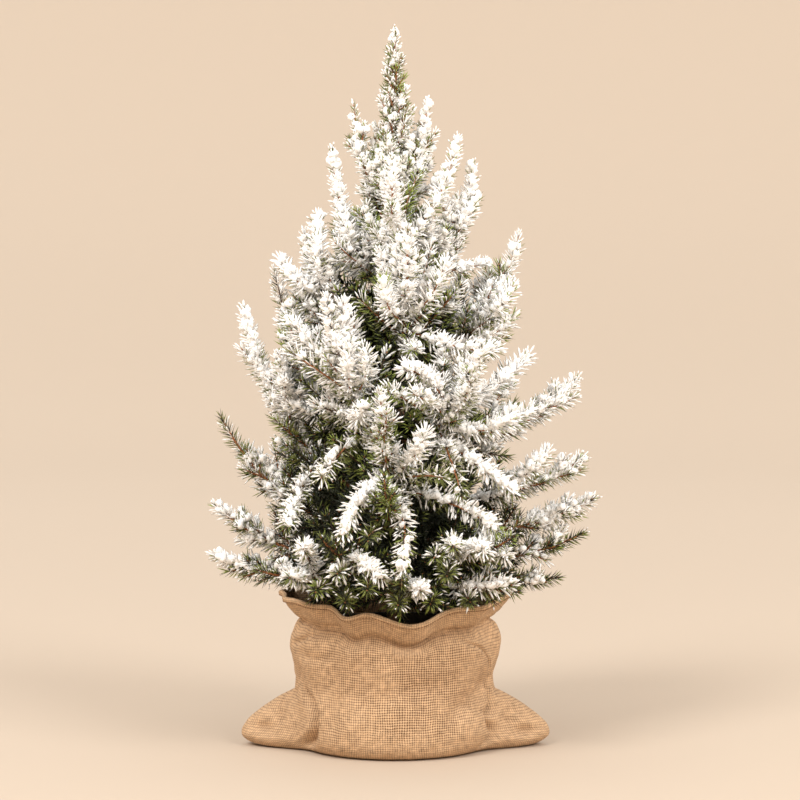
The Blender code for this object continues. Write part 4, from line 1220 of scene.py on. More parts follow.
def snow_cover(points, catches, amount):
    """Share of snow on twigs, from 0 to 1, by their middle points.

    Low in the crown only what reaches its outside is covered, and higher up nearly all of it:
    a smooth step over the distance from the trunk as a share of the crown's radius, which
    starts sooner with height, with patches from smooth noise, less the bare hollows. Low down
    it then holds only for the share of twigs that catch snow.
    """
    away = off_axis(points)
    outside = away / body_radius(points[:, 2]) + patches(points, *SNOW_PATCHES) + AMOUNT_SHARE * amount
    sideways = (points[:, 0] / away) ** 2
    lifted = points[:, 2] + SIDE_LIFT * sideways + patches(points, *SNOW_LINE_PATCHES)
    height = smooth_step(*SNOW_HEIGHTS, lifted)
    spire, leader = (smooth_step(*ends, points[:, 2]) for ends in (SPIRE_HEIGHTS, LEADER_HEIGHTS))
    early = SNOW_SOONER[0] * height + SNOW_SOONER[1] * spire + SNOW_SOONER[2] * leader
    cover = smooth_step(SNOW_EDGES[0] - early, SNOW_EDGES[1] - early, outside)
    limit = between(CATCH_SHARE, height)
    cover = cover * smooth_step(limit + CATCH_SOFT, limit - CATCH_SOFT, catches)
    turn = np.arctan2(points[:, 1], points[:, 0])
    for azimuth, middle, half_width, half_height in HOLLOWS:
        off = np.radians(degrees_off(turn, azimuth)) * body_radius(np.array(middle)) / half_width
        cover = cover * (1 - np.exp(-(off**2) - ((points[:, 2] - middle) / half_height) ** 2))
    return np.clip(cover, 0, 1)


# Where on a twig its snow is judged, and the noise of the snow's load: size and seed
SNOW_MARK = 0.6
LOAD_NOISE = (0.045, 9)
# What the noise and the twig's chance count for in the load, and where it starts and is full
LOAD_SHARES = (0.62, 0.38)
LOAD_EDGES = (0.15, 0.85)


def snow_load(points, catches):
    """How thick the snow lies where it lies, from 0 to 1: smooth noise and each twig's chance."""
    noise = 0.5 + 0.5 * ripple(points, *LOAD_NOISE)
    both = LOAD_SHARES[0] * noise + LOAD_SHARES[1] * (1 - np.clip(catches, 0, 1))
    return smooth_step(*LOAD_EDGES, both)


def twig_snow(twigs, amount):
    """The middles of the twigs, and the cover and the load of snow on each."""
    middles = point_on(twigs.curves, SNOW_MARK)
    cover = np.where(twigs.given < 0, snow_cover(middles, twigs.catches, amount), twigs.given)
    return middles, cover, snow_load(middles, twigs.catches)


# Operators


TRUNK_ROWS = 220
TRUNK_AROUND = 40
# How far over the soil the bark starts, how much shorter than the trunk it is, and how its rows
# crowd at the foot
TRUNK_LIFT = 0.0003
TRUNK_SHORT = 0.001
TRUNK_CROWDING = 1.3
LIMB_ROWS = 26
LIMB_AROUND = 12
# How far the bark of a bough runs on past its end
BOUGH_OVER = 0.03
BARK_RELIEF = 0.0007
# The place of the bark's noise: radius of its turn, and its stretch along the limb
BARK_TURN_R = 0.01
BARK_STRETCH = 0.4
PLATE_SIZE = 0.006
CRACK_SIZE = 0.0025
CRACK_SHARE = 0.5
BARK_LEVEL = 0.5
TRUNK_BARK_SEED = 11
BOUGH_BARK_SEED = 30


def bark_rows(centres, directions, radii, around, seed):
    """Rings of a limb with bark on it: its radius plus plates and furrows.

    The relief is |noise| stretched along the limb, so that furrows run down it and plates
    stand between them.
    """
    level, upright = square_to(directions)
    turns = full_turn(around)
    out = turned(level[:, None], upright[:, None], turns)
    flat = round_trunk(BARK_TURN_R, turns, BARK_STRETCH * run_along(centres)[:, None])
    furrow = np.abs(ripple(flat, PLATE_SIZE, seed)) + CRACK_SHARE * ripple(flat, CRACK_SIZE, seed + 1)
    height = BARK_RELIEF * (radii[:, None] / TRUNK_BASE_R) ** 0.5 * (furrow - BARK_LEVEL)
    return centres[:, None] + (radii[:, None] + height)[..., None] * out


def trunk_rows():
    """Rings of the trunk with its bark, swollen to roots at its foot.

    The flare is FLARE_R exp(-height / FLARE_HEIGHT), less in the valleys between the roots.
    """
    rise = (TRUNK_TOP_Z - SOIL_TOP_Z - TRUNK_SHORT) * np.linspace(0, 1, TRUNK_ROWS) ** TRUNK_CROWDING
    heights = SOIL_TOP_Z + TRUNK_LIFT + rise
    centres = trunk_axis(heights)
    ahead = np.broadcast_to(UP, centres.shape)
    rows = bark_rows(centres, ahead, trunk_radius(heights), TRUNK_AROUND, TRUNK_BARK_SEED)
    flare = FLARE_R * np.exp(-(heights - SOIL_TOP_Z) / FLARE_HEIGHT)[:, None]
    flare = flare * (1 - FLARE_VALLEY * (1 - np.cos(FLARE_ROOTS * full_turn(TRUNK_AROUND))))
    return rows + flare[..., None] * unit(rows - centres[:, None])


def closed_skin(rows):
    """The points and faces of rings of points, with a point amid each end ring to close it."""
    first, last = rows[0].mean(axis=0)[None], rows[-1].mean(axis=0)[None]
    return np.concatenate((first, rows.reshape(-1, 3), last)), sleeve_faces(*rows.shape[:2])


class SPRUCE_OT_bark(bpy.types.Operator):
    """Trunk and boughs with the relief of their bark, in place of the plain limbs."""

    bl_idname = "spruce.bark"
    bl_label = "Trunk and boughs"

    def execute(self, context):
        tiers, boughs = plan_boughs()
        boughs = boughs[tiers < TIERS_WITH_BOUGHS]
        skins = [closed_skin(trunk_rows())]
        shares = np.linspace(0.0, BOUGH_SHARE + BOUGH_OVER, LIMB_ROWS)
        radii = BOUGH_FOOT_R + (BOUGH_END_R - BOUGH_FOOT_R) * shares / BOUGH_SHARE
        for number, (middle, ahead) in enumerate(zip(along(boughs, shares), heading(boughs, shares))):
            rows = bark_rows(middle, ahead, radii, LIMB_AROUND, BOUGH_BARK_SEED + number)
            skins.append(closed_skin(rows))
        finish = mottled_finish("bark", context.scene.spruce_crown.bark_colour, (1.5, 0.55),
                                roughness=0.85, coarse=140.0, fine=900.0, relief=0.0006)
        names = [f"bough_{k + 1:02d}" for k in range(len(boughs))]
        add_piece("bark_limbs", mesh_of("bark_limbs", *joined(skins)), finish, "bark", "trunk", *names)
        return {"FINISHED"}


class SPRUCE_OT_twigs(bpy.types.Operator):
    """Stems, shoots and twigs as tapering sleeves, in place of the plain foliage."""

    bl_idname = "spruce.twigs"
    bl_label = "Twigs"

    def execute(self, context):
        crown = context.scene.spruce_crown
        twigs = all_twigs()
        middles = point_on(twigs.curves, 0.5)
        # Twigs deep in the crown below the spire take the dark colour: old bark and painted shade
        old = off_axis(middles) < OLD_PAINTED_SHADE_TWIG_SHARE * body_radius(middles[:, 2])
        old &= middles[:, 2] < SPIRE_HEIGHTS[0]
        for age, chosen, colour in (
                ("old", old, crown.old_twig_colour), ("young", ~old, crown.twig_colour)):
            finish = new_finish(f"{age}_twig_skin", colour, 0.7)
            add_bands(f"{age}_twigs", finish, "bark", band_of(twigs.owners), chosen,
                      lambda on: self.skins(twigs, on), replaces_nodes=True)
        return {"FINISHED"}

    def skins(self, twigs, on):
        """The sleeves of the chosen twigs, level by level."""
        skins = []
        for level, (start, end) in enumerate(STEM_WIDTHS):
            curves = twigs.curves[on & (twigs.levels == level)]
            if len(curves):
                wide = np.full(len(curves), start)
                narrow = wide * end / start
                skins.append(limb_skins(curves, wide, narrow, STEM_STEPS[level], STEM_SIDES[level]))
        return joined(skins)


Needles = collections.namedtuple("Needles", "roots ways sizes kinds bands coats tips loads depths")

# Lean of the needles off their twig, by their distance from its tip
NEEDLE_LEANS = ((0.0, 14.0), (0.004, 34.0), (0.012, 50.0), (0.03, 58.0), (0.08, 64.0))
# How needles vary: roll in radians, lean in degrees and share of their length
NEEDLE_ROLLS = (-0.35, 0.35)
NEEDLE_TILTS = (-9, 9)
NEEDLE_SHARES = (0.76, 1.06)
NEEDLES_LEAST = 10
# Where the needles of a stem and of any other twig start, and the share of it that bears them
STEM_NEEDLES = (0.22, 0.78)
TWIG_NEEDLES = (0.03, 0.96)
# How much shorter needles are round the bud, and the stretch over which they shorten
BUD_SHORTENS = 0.25
BUD_STRETCH = (0.9, 1.0)
# How much longer the needles of the plumes are
PLUME_NEEDLES = 1.12
# How much shorter needles are at the top of the leader, and the heights where that starts and ends
LEADER_SHORTENS = 0.3
LEADER_SHORT_HEIGHTS = (0.5, 0.64)
# Where the deep of the crown ends, as shares of its radius, and how much further apart and how
# much wider needles are in it
DEEP_EDGES = (0.3, 0.65)
DEEP_SPREADS = 0.3
DEEP_WIDENS = 1.0
# Share of the twigs that end in a bare green tuft, low and in the spire, and how long the tuft is
GREEN_TIP_SHARE = (0.3, 0.55)
GREEN_TIP_LENGTH = 0.013
# Plumes given this much snow have fewer tufts
WHITE_PLUME = 0.95
WHITE_PLUME_TUFTS = 0.4
# Chance of a needle to be snowy: on a covered twig, by the load, if it points up, near the tip
SNOW_CHANCE = (0.66, 0.3, 0.28, 0.12)
# The least cover of a twig for snowy needles and for frosted ones, and the chance of frost
COVER_LEAST = 0.05
FROST_LEAST = 0.3
FROST_CHANCE = 0.25
# How much less snow the needles hold at the top of the leader, and low in the crown
SPIRE_BARES = 0.42
LOW_BARES = 0.26
# How many more bare needles are painted near black, as painted shade, low in the crown, and the heights
# where that ends
LOW_PAINTED_SHADE = 0.36
LOW_HEIGHTS = (0.2, 0.32)
# Share of the bare needles painted near black as painted shade at the crown's edge, and how many more at
# the trunk
PAINTED_SHADE_SHARES = (0.15, 0.75)
# Share of the snowy needles that are white from root to tip, and of the bare ones further out
# than TIPPED_EDGE that have a white tip; plumes have TIPPED_PLUMES times as many
COATED_SHARE = 0.72
TIPPED_SHARE = 0.07
TIPPED_EDGE = 0.6
TIPPED_PLUMES = 1.5
# Share of the twigs with young needles, below and above YOUNG_Z, and where on the twig they start
YOUNG_SHARES = (0.3, 0.45)
YOUNG_Z = 0.6
YOUNG_START = 0.45
NEEDLE_SEED = 23
# The first kind, near black, is painted shade deep and low in the crown
NEEDLE_KINDS = ("shade", "green", "young", "frosted")
# The places of the rings along a needle and their shares of the width; the rest are thorns
NEEDLE_FORMS = {
    "green": ((0.5,), (1.0,)),
    "young": ((0.55,), (1.0,)),
    "frosted": ((0.6,), (1.0,)),
}
NEEDLE_SIDES = 3
# Shares by which widths vary, of needles and of the snow on them
NEEDLE_WIDTHS = (0.85, 1.15)
CAP_WIDTHS = (0.75, 1.2)
# Snow on a needle: its form and where it starts, on a coated one and on one with a white tip
COAT_FORM = ((0.22, 0.74), (0.72, 1.0))
COAT_STARTS = (0.02, 0.22)
TIP_FORM = ((0.6,), (1.0,))
TIP_STARTS = (0.3, 0.72)
# Where the snow on a needle ends, and how far it lies above the needle
CAP_END = 1.05
CAP_RAISE = 0.0004
# Width of the snow on a needle where it lies thin and where it lies thick, as shares
COAT_WIDTHS = (0.8, 1.25)


def stand_needles(twigs, deep, spacing, length, rng):
    """For every needle: its twig, its share of the way along it and the way left to its tip, then
    its root, direction and length.

    Needles stand round a twig a golden turn apart, by the leans above, and are shorter round
    the bud at its end. On twigs deep in the crown they stand further apart.
    """
    long = lengths(twigs.curves)
    counts = np.maximum(NEEDLES_LEAST, long / (spacing * (1 + DEEP_SPREADS * deep)))
    parents, order, share = dealt(counts.astype(int))
    count = len(parents)
    on_stem, on_twig = (start + run * share for start, run in (STEM_NEEDLES, TWIG_NEEDLES))
    share = np.where(twigs.levels[parents] == 0, on_stem, on_twig)
    root, ahead, level, upright = seats(twigs.curves[parents], share)
    roll = order * GOLDEN_TURN + rng.uniform(*NEEDLE_ROLLS, count)
    to_tip = (1 - share) * long[parents]
    lean = np.interp(to_tip, *np.transpose(NEEDLE_LEANS))
    lean = np.radians(lean + rng.uniform(*NEEDLE_TILTS, count))
    out = unit(turned(ahead, turned(level, upright, roll), lean))
    size = length * rng.uniform(*NEEDLE_SHARES, count)
    size *= 1 - BUD_SHORTENS * smooth_step(*BUD_STRETCH, share)
    size *= 1 - LEADER_SHORTENS * smooth_step(*LEADER_SHORT_HEIGHTS, root[:, 2])
    size *= np.where(twigs.given[parents] < 0, 1.0, PLUME_NEEDLES)
    return parents, share, to_tip, root, out, size


@functools.lru_cache(maxsize=None)
def place_needles(shoot_spacing, twig_spacing, needle_spacing, needle_length, amount):
    """Every needle: its root, direction, length, kind and band, and the snow on it.

    A needle is snowy by chance, the more the better its twig is covered; snowy ones are coated
    or have a white tip. Of the bare ones, those deep and low in the crown are painted near
    black as painted shade, those of some twigs are young, and those that just miss being
    snowy are frosted. Coated needles have no kind, for the snow hides them.
    """
    twigs = grow_twigs(shoot_spacing, twig_spacing)
    rng = np.random.default_rng(NEEDLE_SEED)
    middles, cover, load = twig_snow(twigs, amount)
    height = middles[:, 2]
    in_spire = smooth_step(*SPIRE_HEIGHTS, height)
    plume = twigs.given >= 0
    away = np.where(plume, 1.0, np.maximum(off_axis(middles) / body_radius(height), in_spire))
    deep = 1 - smooth_step(*DEEP_EDGES, away)
    parents, share, to_tip, root, out, size = stand_needles(
        twigs, deep, needle_spacing, needle_length, rng)
    count = len(parents)
    cover, load = cover[parents], load[parents]
    tufts = between(GREEN_TIP_SHARE, in_spire)
    tufts = tufts * np.where(twigs.given < WHITE_PLUME, 1.0, WHITE_PLUME_TUFTS)
    green_tip = (rng.uniform(size=len(middles)) < tufts)[parents]
    green_tip &= (to_tip < GREEN_TIP_LENGTH) & (twigs.levels[parents] > 0)
    shake = rng.uniform(size=count)
    covered, loaded, upward, outward = SNOW_CHANCE
    snow = cover * (covered + loaded * load) + upward * out[:, 2] + outward * (share - 0.5)
    snow *= 1 - SPIRE_BARES * smooth_step(*LEADER_SHORT_HEIGHTS, root[:, 2])
    snow *= 1 - LOW_BARES * (1 - smooth_step(*LOW_HEIGHTS, root[:, 2]))
    snowy = (shake < snow) & (cover > COVER_LEAST) & ~green_tip
    coats = snowy & (rng.uniform(size=count) < COATED_SHARE)
    tipped = np.where(plume, TIPPED_PLUMES * TIPPED_SHARE, TIPPED_SHARE * (away > TIPPED_EDGE))[parents]
    tips = (snowy & ~coats) | (~snowy & (rng.uniform(size=count) < tipped))
    young = rng.uniform(size=len(middles)) < np.where(height > YOUNG_Z, *YOUNG_SHARES[::-1])
    # Painted shade: bare needles deep and low in the crown take the near-black colour
    shade = PAINTED_SHADE_SHARES[0] + PAINTED_SHADE_SHARES[1] * (1 - away)
    shade = shade + LOW_PAINTED_SHADE * (1 - smooth_step(*LOW_HEIGHTS, height))
    in_painted_shade = rng.uniform(size=count) < shade[parents]
    kind = np.where(in_painted_shade, 0, 1)
    kind = np.where(young[parents] & (share > YOUNG_START) & ~in_painted_shade, 2, kind)
    frosted = (shake < snow + FROST_CHANCE) & (cover > FROST_LEAST)
    kind = np.where(~snowy & ~green_tip & frosted, 3, kind)
    kind = np.where(coats, len(NEEDLE_KINDS), kind)
    bands = band_of(twigs.owners)[parents]
    return Needles(root, out, size, kind, bands, coats, tips, load, deep[parents])


class SPRUCE_OT_needles(bpy.types.Operator):
    """Needles, each kind joined apart, and the caps of snow on them."""

    bl_idname = "spruce.needles"
    bl_label = "Needles"

    def execute(self, context):
        crown = context.scene.spruce_crown
        needles = place_needles(crown.shoot_spacing, crown.twig_spacing, crown.needle_spacing,
                                crown.needle_length, crown.snow_amount)
        rng = np.random.default_rng(NEEDLE_SEED + 1)
        count = len(needles.roots)
        width = crown.needle_width * rng.uniform(*NEEDLE_WIDTHS, count)
        width = width * (1 + DEEP_WIDENS * needles.depths)
        spin = rng.uniform(0, 2 * math.pi, count)
        for number, label in enumerate(NEEDLE_KINDS):
            finish = new_finish(f"{label}_needles", getattr(crown, f"{label}_colour"), 0.5)
            form = NEEDLE_FORMS.get(label)
            add_bands(f"{label}_needles", finish, "snowy_needles", needles.bands, needles.kinds == number,
                      lambda on: self.bare(needles, on, width[on], form, spin[on]))
        finish = new_finish("needle_snow", crown.snow_colour, 0.9)
        width = crown.coated_width * rng.uniform(*CAP_WIDTHS, count) * between(COAT_WIDTHS, needles.loads)
        for name, chosen, ends, form in (
                ("coated_needles", needles.coats, COAT_STARTS, COAT_FORM),
                ("needle_tips", needles.tips, TIP_STARTS, TIP_FORM)):
            add_bands(name, finish, "snowy_needles", needles.bands, chosen, lambda on: self.caps(
                needles, on, rng.uniform(*ends, on.sum()), width[on], form, spin[on]))
        return {"FINISHED"}

    def bare(self, needles, on, width, form, spin):
        """The chosen needles, as spindles where their kind has a form, or else as thorns."""
        shape = needles.roots[on], needles.ways[on], needles.sizes[on], width
        return spindles(*shape, form, NEEDLE_SIDES, spin) if form else thorns(*shape, spin)

    def caps(self, needles, on, start, width, form, spin):
        """The snow on the chosen needles, from its start to CAP_END of each."""
        ways, sizes = needles.ways[on], needles.sizes[on]
        starts = needles.roots[on] + (start * sizes)[:, None] * ways + CAP_RAISE * UP
        return spindles(starts, ways, (CAP_END - start) * sizes, width, form, NEEDLE_SIDES, spin)


LUMP_SPACING = 0.0025
LUMP_LEAST_COVER = 0.35
# Chance of a lump where the snow is thin, and how much more where it is thick
LUMP_CHANCE = (0.45, 1.1)
# The stretch of a twig that bears lumps, and the start and the share of it on a stem
LUMP_STRETCH = (0.1, 0.97)
STEM_LUMPS = (0.4, 0.6)
# How far a lump lies off its twig, how much it keeps to the upper side, its length and width
LUMP_OFF = (0.0015, 0.0075)
LUMP_UP = 1.1
LUMP_LENGTHS = (0.0055, 0.012)
LUMP_WIDTHS = (0.0044, 0.0088)
# How much lumps turn off their twig, their form, and the size and reach of their dents
LUMP_TURNS = 0.6
LUMP_FORM = ((0.12, 0.5, 0.88), (0.78, 1.0, 0.78))
LUMP_SIDES = 5
LUMP_DENT = 0.006
LUMP_DENT_REACH = 0.0007
# Share of the lumps that the leader sheds
LEADER_SHEDS = 0.93
LUMP_SEED = 57


class SPRUCE_OT_snow(bpy.types.Operator):
    """Soft lumps of snow that lie on the upper side of the snowy twigs."""

    bl_idname = "spruce.snow"
    bl_label = "Lumps of snow"

    def execute(self, context):
        crown = context.scene.spruce_crown
        twigs = all_twigs()
        curves = twigs.curves
        rng = np.random.default_rng(LUMP_SEED)
        _, cover, load = twig_snow(twigs, crown.snow_amount)
        chance = smooth_step(LUMP_LEAST_COVER, 1.0, cover) * (LUMP_CHANCE[0] + LUMP_CHANCE[1] * load**2)
        chance *= 1 - LEADER_SHEDS * smooth_step(*LEADER_HEIGHTS, point_on(curves, 0.5)[:, 2])
        count = lengths(curves) / LUMP_SPACING * chance + rng.uniform(0, 1, len(curves)) * chance
        twig = np.repeat(np.arange(len(curves)), count.astype(int))
        share = rng.uniform(*LUMP_STRETCH, len(twig))
        share = np.where(twigs.levels[twig] == 0, STEM_LUMPS[0] + STEM_LUMPS[1] * share, share)
        middle, ahead, level, upright = seats(curves[twig], share)
        side = unit(turned(level, upright, rng.uniform(0, 2 * math.pi, len(twig))) + LUMP_UP * UP)
        middle = middle + rng.uniform(*LUMP_OFF, len(twig))[:, None] * side
        ahead = unit(ahead + LUMP_TURNS * rng.normal(size=ahead.shape))
        long = rng.uniform(*LUMP_LENGTHS, len(twig))
        wide = rng.uniform(*LUMP_WIDTHS, len(twig))
        starts = middle - 0.5 * long[:, None] * ahead
        spin = rng.uniform(0, 2 * math.pi, len(twig))
        points, _ = spindles(starts, ahead, long, wide, LUMP_FORM, LUMP_SIDES, spin)
        dents = [ripple(points, LUMP_DENT, LUMP_SEED + k) for k in range(3)]
        points += LUMP_DENT_REACH * np.stack(dents, axis=1)
        one = sleeve_faces(len(LUMP_FORM[0]), LUMP_SIDES)
        lumps = points.reshape(-1, one.max() + 1, 3)
        add_bands("snow_lumps", new_finish("snow_lumps", crown.snow_colour, 0.95), "snowy_needles",
                  band_of(twigs.owners)[twig], np.full(len(twig), True),
                  lambda on: (lumps[on].reshape(-1, 3), repeated(one, lumps.shape[1], on.sum())))
        return {"FINISHED"}


BUD_LENGTH = 0.0036
BUD_WIDTH = 0.0019
# Where a bud is widest, which is also where its twig ends in it
BUD_FORM = ((0.4,), (1.0,))
BUD_SIDES = 5


class SPRUCE_OT_buds(bpy.types.Operator):
    """A small resinous bud at the end of each twig."""

    bl_idname = "spruce.buds"
    bl_label = "Buds"

    def execute(self, context):
        curves = all_twigs().curves
        ahead = heading(curves, (1.0,))[:, 0]
        size, width = np.full((2, len(curves)), ((BUD_LENGTH,), (BUD_WIDTH,)))
        starts = curves[:, 2] - BUD_FORM[0][0] * BUD_LENGTH * ahead
        points, faces = spindles(starts, ahead, size, width, BUD_FORM, BUD_SIDES, 0 * size)
        finish = new_finish("bud_scales", context.scene.spruce_crown.bud_colour, 0.55)
        add_piece("buds", mesh_of("buds", points, faces), finish, "bark")
        return {"FINISHED"}


# Sack, pot and soil


SACK_AROUND = 520
OUTER_ROWS = 150
HEM_ROWS = 11
# The hem's roll, from its start to its end, in half turns, and how far it stands out, in radii
HEM_ROLL = (-0.55, 1.2)
HEM_OUT = 0.1
INNER_ROWS = 14
LINE_STEPS = 24
# Radius that the sack's noise and creases are laid out at
NOISE_R = 0.1
CREASE_R = 0.104
# Heights over which the cuff takes on the dips of the rim
CUFF_DROPS = (0.098, 0.125)
# Height over which the relief of the cloth starts
RELIEF_RISE = 0.012
# Waves round the sack, as number, phase and depth: the crease at its neck, its lip and its rim
NECK_WAVES = ((5, 1.0, 0.3),)
LIP_WAVES = ((9, 0.6, 1.0), (16, 2.2, 0.7))
RIM_WAVES = ((13, 4.0, 0.0006),)
NECK_EVEN = 0.85
LIP_RUFFLE = 0.0011
CREASE_Z = 0.1225
CREASE_DEPTH = 0.0062
CREASE_HALF = 0.003
# How far the lip leans out where the rim dips, as a share of the dip
LIP_LEAN = 0.42
# Gathers of the neck, and how strong they are at the front and how much more at the sides
GATHERS = 33
GATHER_DEPTH = 0.0009
GATHER_HALF = 0.011
GATHER_SHARES = (0.35, 0.65)
# Soft lumps of the full sack: reach, size and seed
SACK_LUMPS = ((0.0013, 0.04, 71), (0.0006, 0.014, 72))
# Creases of the sack: points as azimuth in degrees and height, then depth, half width, and
# how far the cloth below it stands out
SACK_CREASES = (
    (((-54, 0.118), (-48, 0.1125), (-41, 0.108), (-33, 0.1025), (-25, 0.092), (-19, 0.078)),
     0.0042, 0.0017, 0.0022),
    (((-12, 0.074), (-32, 0.058), (-52, 0.045), (-62, 0.024)), 0.0058, 0.011, 0.0014),
    (((-168, 0.104), (-156, 0.108), (-146, 0.113), (-136, 0.117)), 0.0042, 0.0026, 0.0016),
    (((-156, 0.1), (-140, 0.096), (-124, 0.101)), 0.002, 0.005, 0.001),
    (((-155, 0.06), (-142, 0.042), (-141, 0.022), (-150, 0.008), (-156, 0.002)), 0.0115, 0.0055, 0.0),
    (((-15, 0.074), (-19, 0.046), (-27, 0.033), (-23, 0.018), (-34, 0.003)), 0.0105, 0.005, 0.0),
    (((-46, 0.05), (-33, 0.042), (-20, 0.036)), 0.002, 0.003, 0.001),
    (((-96, 0.11), (-90, 0.098), (-86, 0.086)), 0.0016, 0.007, 0.0),
    (((150, 0.1), (128, 0.088), (110, 0.092)), 0.0028, 0.005, 0.0016),
    (((60, 0.112), (42, 0.096), (30, 0.08)), 0.003, 0.004, 0.002),
    (((152, 0.06), (136, 0.038), (133, 0.012)), 0.0034, 0.0085, 0.0),
    (((16, 0.066), (40, 0.03), (50, 0.01)), 0.0036, 0.0085, 0.0),
)
CREASE_POINTS = 48
# The swell below a crease: how much wider than the crease it is, as a multiple and a length
SWELL_WIDER = (5, 0.006)
# The painted shade in a crease: how many points about it count, the depth where it is full, and
# the height over which it starts
HOLLOW_STEPS = 6
HOLLOW_FULL = 0.0024
HOLLOW_RISE = 0.008
# Dimples in the front of the bottom corners: place on x, height, half width, half height, depth
EAR_DIMPLES = (
    (-0.131, 0.02, 0.012, 0.007, 0.007),
    (-0.112, 0.032, 0.006, 0.011, 0.005),
    (0.13, 0.017, 0.011, 0.006, 0.007),
    (0.11, 0.029, 0.007, 0.009, 0.005),
)
# Open mesh: its share at the seams and how much more amid the front and back, the heights where
# it starts and ends, and its noise: mean, strength, size and seed
LOOSE_SHARES = (0.25, 0.75)
LOOSE_STARTS = (0.004, 0.03)
LOOSE_ENDS = (0.1, 0.125)
LOOSE_MEAN = 0.75
LOOSE_PATCHES = (0.5, 0.06, 81)
STITCH_LENGTH = 0.0019
STITCH_WIDTH = 0.0012
STITCH_OUT = 0.0006
STITCH_FORM = ((0.12, 0.5, 0.88), (0.8, 1.0, 0.8))
STITCH_SIDES = 5


def smooth_line(points, count):
    """A smooth line through points, by cubic pieces whose slope at a point is half the step
    between its neighbours, sampled evenly by length."""
    points = np.asarray(points, float)
    padded = np.concatenate((2 * points[:1] - points[1:2], points, 2 * points[-1:] - points[-2:-1]))
    t = np.linspace(0, 1, LINE_STEPS, endpoint=False)[:, None]
    line = []
    for a, b, c, d in zip(padded[:-3], padded[1:-2], padded[2:-1], padded[3:]):
        line.append(b + 0.5 * t * (c - a + t * (2 * a - 5 * b + 4 * c - d + t * (3 * (b - c) + d - a))))
    line = np.concatenate((*line, points[-1:]))
    run = run_along(line)
    even = np.linspace(0, run[-1], count)
    return points_at(line, run, even), even


def waves(turn, table, form=np.sin):
    """Waves round the sack: the sum of depth form(number turn + phase)."""
    return sum(depth * form(number * turn + phase) for number, phase, depth in table)


def ear_push(turn, height):
    """How far a bottom corner of the sack stands out at azimuths and heights."""
    rise = np.clip((height - EAR_FULL_Z) / (EAR_TOP_Z - EAR_FULL_Z), 0, 1)
    under = EAR_UNDERCUT * (np.clip(EAR_FULL_Z - height, 0, None) / EAR_FULL_Z) ** 2
    fullness = (1 - rise**EAR_SLOPE) ** EAR_ROUND - under
    away = np.arctan2(np.abs(np.sin(turn)), np.abs(np.cos(turn)))
    return EAR_REACH * fullness * bell(away / (EAR_SPREAD * (1 - EAR_NARROWS * rise)))


def crease_relief(turn, height):
    """Depth of the creases: along each line a valley exp(-(d/half)^2), and a swell below it."""
    total = 0.0 * turn * height
    across = np.stack(np.broadcast_arrays(turn * CREASE_R, height), axis=-1)
    for line, depth, half, swell in SACK_CREASES:
        chain, _ = smooth_line([(math.radians(a) * CREASE_R, z) for a, z in line], CREASE_POINTS)
        off = across[..., None, :] - chain
        gaps = np.linalg.norm(off, axis=-1)
        near, gap = gaps.argmin(axis=-1), gaps.min(axis=-1)
        below = -np.take_along_axis(off[..., 1], near[..., None], axis=-1)[..., 0]
        fade = np.sin(math.pi * np.clip((near + 1) / (len(chain) + 1), 0, 1)) ** 0.5
        total -= depth * fade * bell(gap / half)
        side = smooth_step(-half, 2 * half, below)
        total += swell * fade * side * bell(gap / (SWELL_WIDER[0] * half + SWELL_WIDER[1]))
    return total


def outer_relief(turn, radius, height):
    """What the outer cloth's radius gains: ears, folds, the crease and the gathers of the neck,
    the creases and the lumps, the last two only above the underside."""
    ear = np.minimum(1.0, radius / SACK_OUTER[1][0]) ** 2 * ear_push(turn, height)
    fold = smooth_step(FOLDS_START_Z, NECK_Z, height) * waves(turn, SACK_FOLDS, np.cos)
    neck = CREASE_DEPTH * (NECK_EVEN + waves(turn, NECK_WAVES))
    sides = GATHER_SHARES[0] + GATHER_SHARES[1] * np.abs(np.cos(turn))
    gathers = np.sin(GATHERS * turn + 2 * np.sin(3 * turn)) * sides
    gathers = gathers * bell((height - CREASE_Z) / GATHER_HALF)
    radius = radius + ear + fold - bell((height - CREASE_Z) / CREASE_HALF) * neck + GATHER_DEPTH * gathers
    raised = smooth_step(0.0, RELIEF_RISE, height)
    ring = round_trunk(NOISE_R, turn, height)
    radius = radius + raised * crease_relief(turn, height)
    return radius + raised * sum(patches(ring, *lumps) for lumps in SACK_LUMPS)


def sack_cloth(turn, radius, height, inner):
    """The sack's surface: its profile, pushed out at the ears, folded, creased and dipped."""
    rim = smooth_step(CUFF_START_Z, RIM_Z, height)
    dropped = rim if inner else smooth_step(*CUFF_DROPS, height)
    if not inner:
        radius = outer_relief(turn, radius, height)
    lip = RIM_CORNER_FLARE * corner(turn) + LIP_RUFFLE * waves(turn, LIP_WAVES)
    radius = radius + rim * (lip + LIP_LEAN * rim_dip(turn))
    height = height + dropped * (rim_rise(turn) + waves(turn, RIM_WAVES))
    cloth = round_trunk(radius, turn, height)
    for middle, up, half_width, half_height, depth in () if inner else EAR_DIMPLES:
        off = ((cloth[..., 0] - middle) / half_width) ** 2 + ((height - up) / half_height) ** 2
        cloth[..., 1] += depth * np.exp(-off) * smooth_step(0.0, RELIEF_RISE, -cloth[..., 1])
    return cloth


def halves_laid_flat(rows, run):
    """Flat places of a sack of two cloths sewn at its sides: length along the profile, and
    length round each row from the middle of the front or the back."""
    steps = np.linalg.norm(np.roll(rows, -1, axis=1) - rows, axis=2)
    passed = np.concatenate((np.zeros((len(rows), 1)), np.cumsum(steps, axis=1)), axis=1)
    quarter = rows.shape[1] // 4
    half = np.arange(rows.shape[1]) // (2 * quarter)
    middle = passed[:, quarter + 2 * quarter * half]
    near, far = passed[:, :-1] - middle, passed[:, 1:] - middle
    return [np.stack(np.broadcast_arrays(side, run[:, None]), axis=-1) for side in (near, far)]


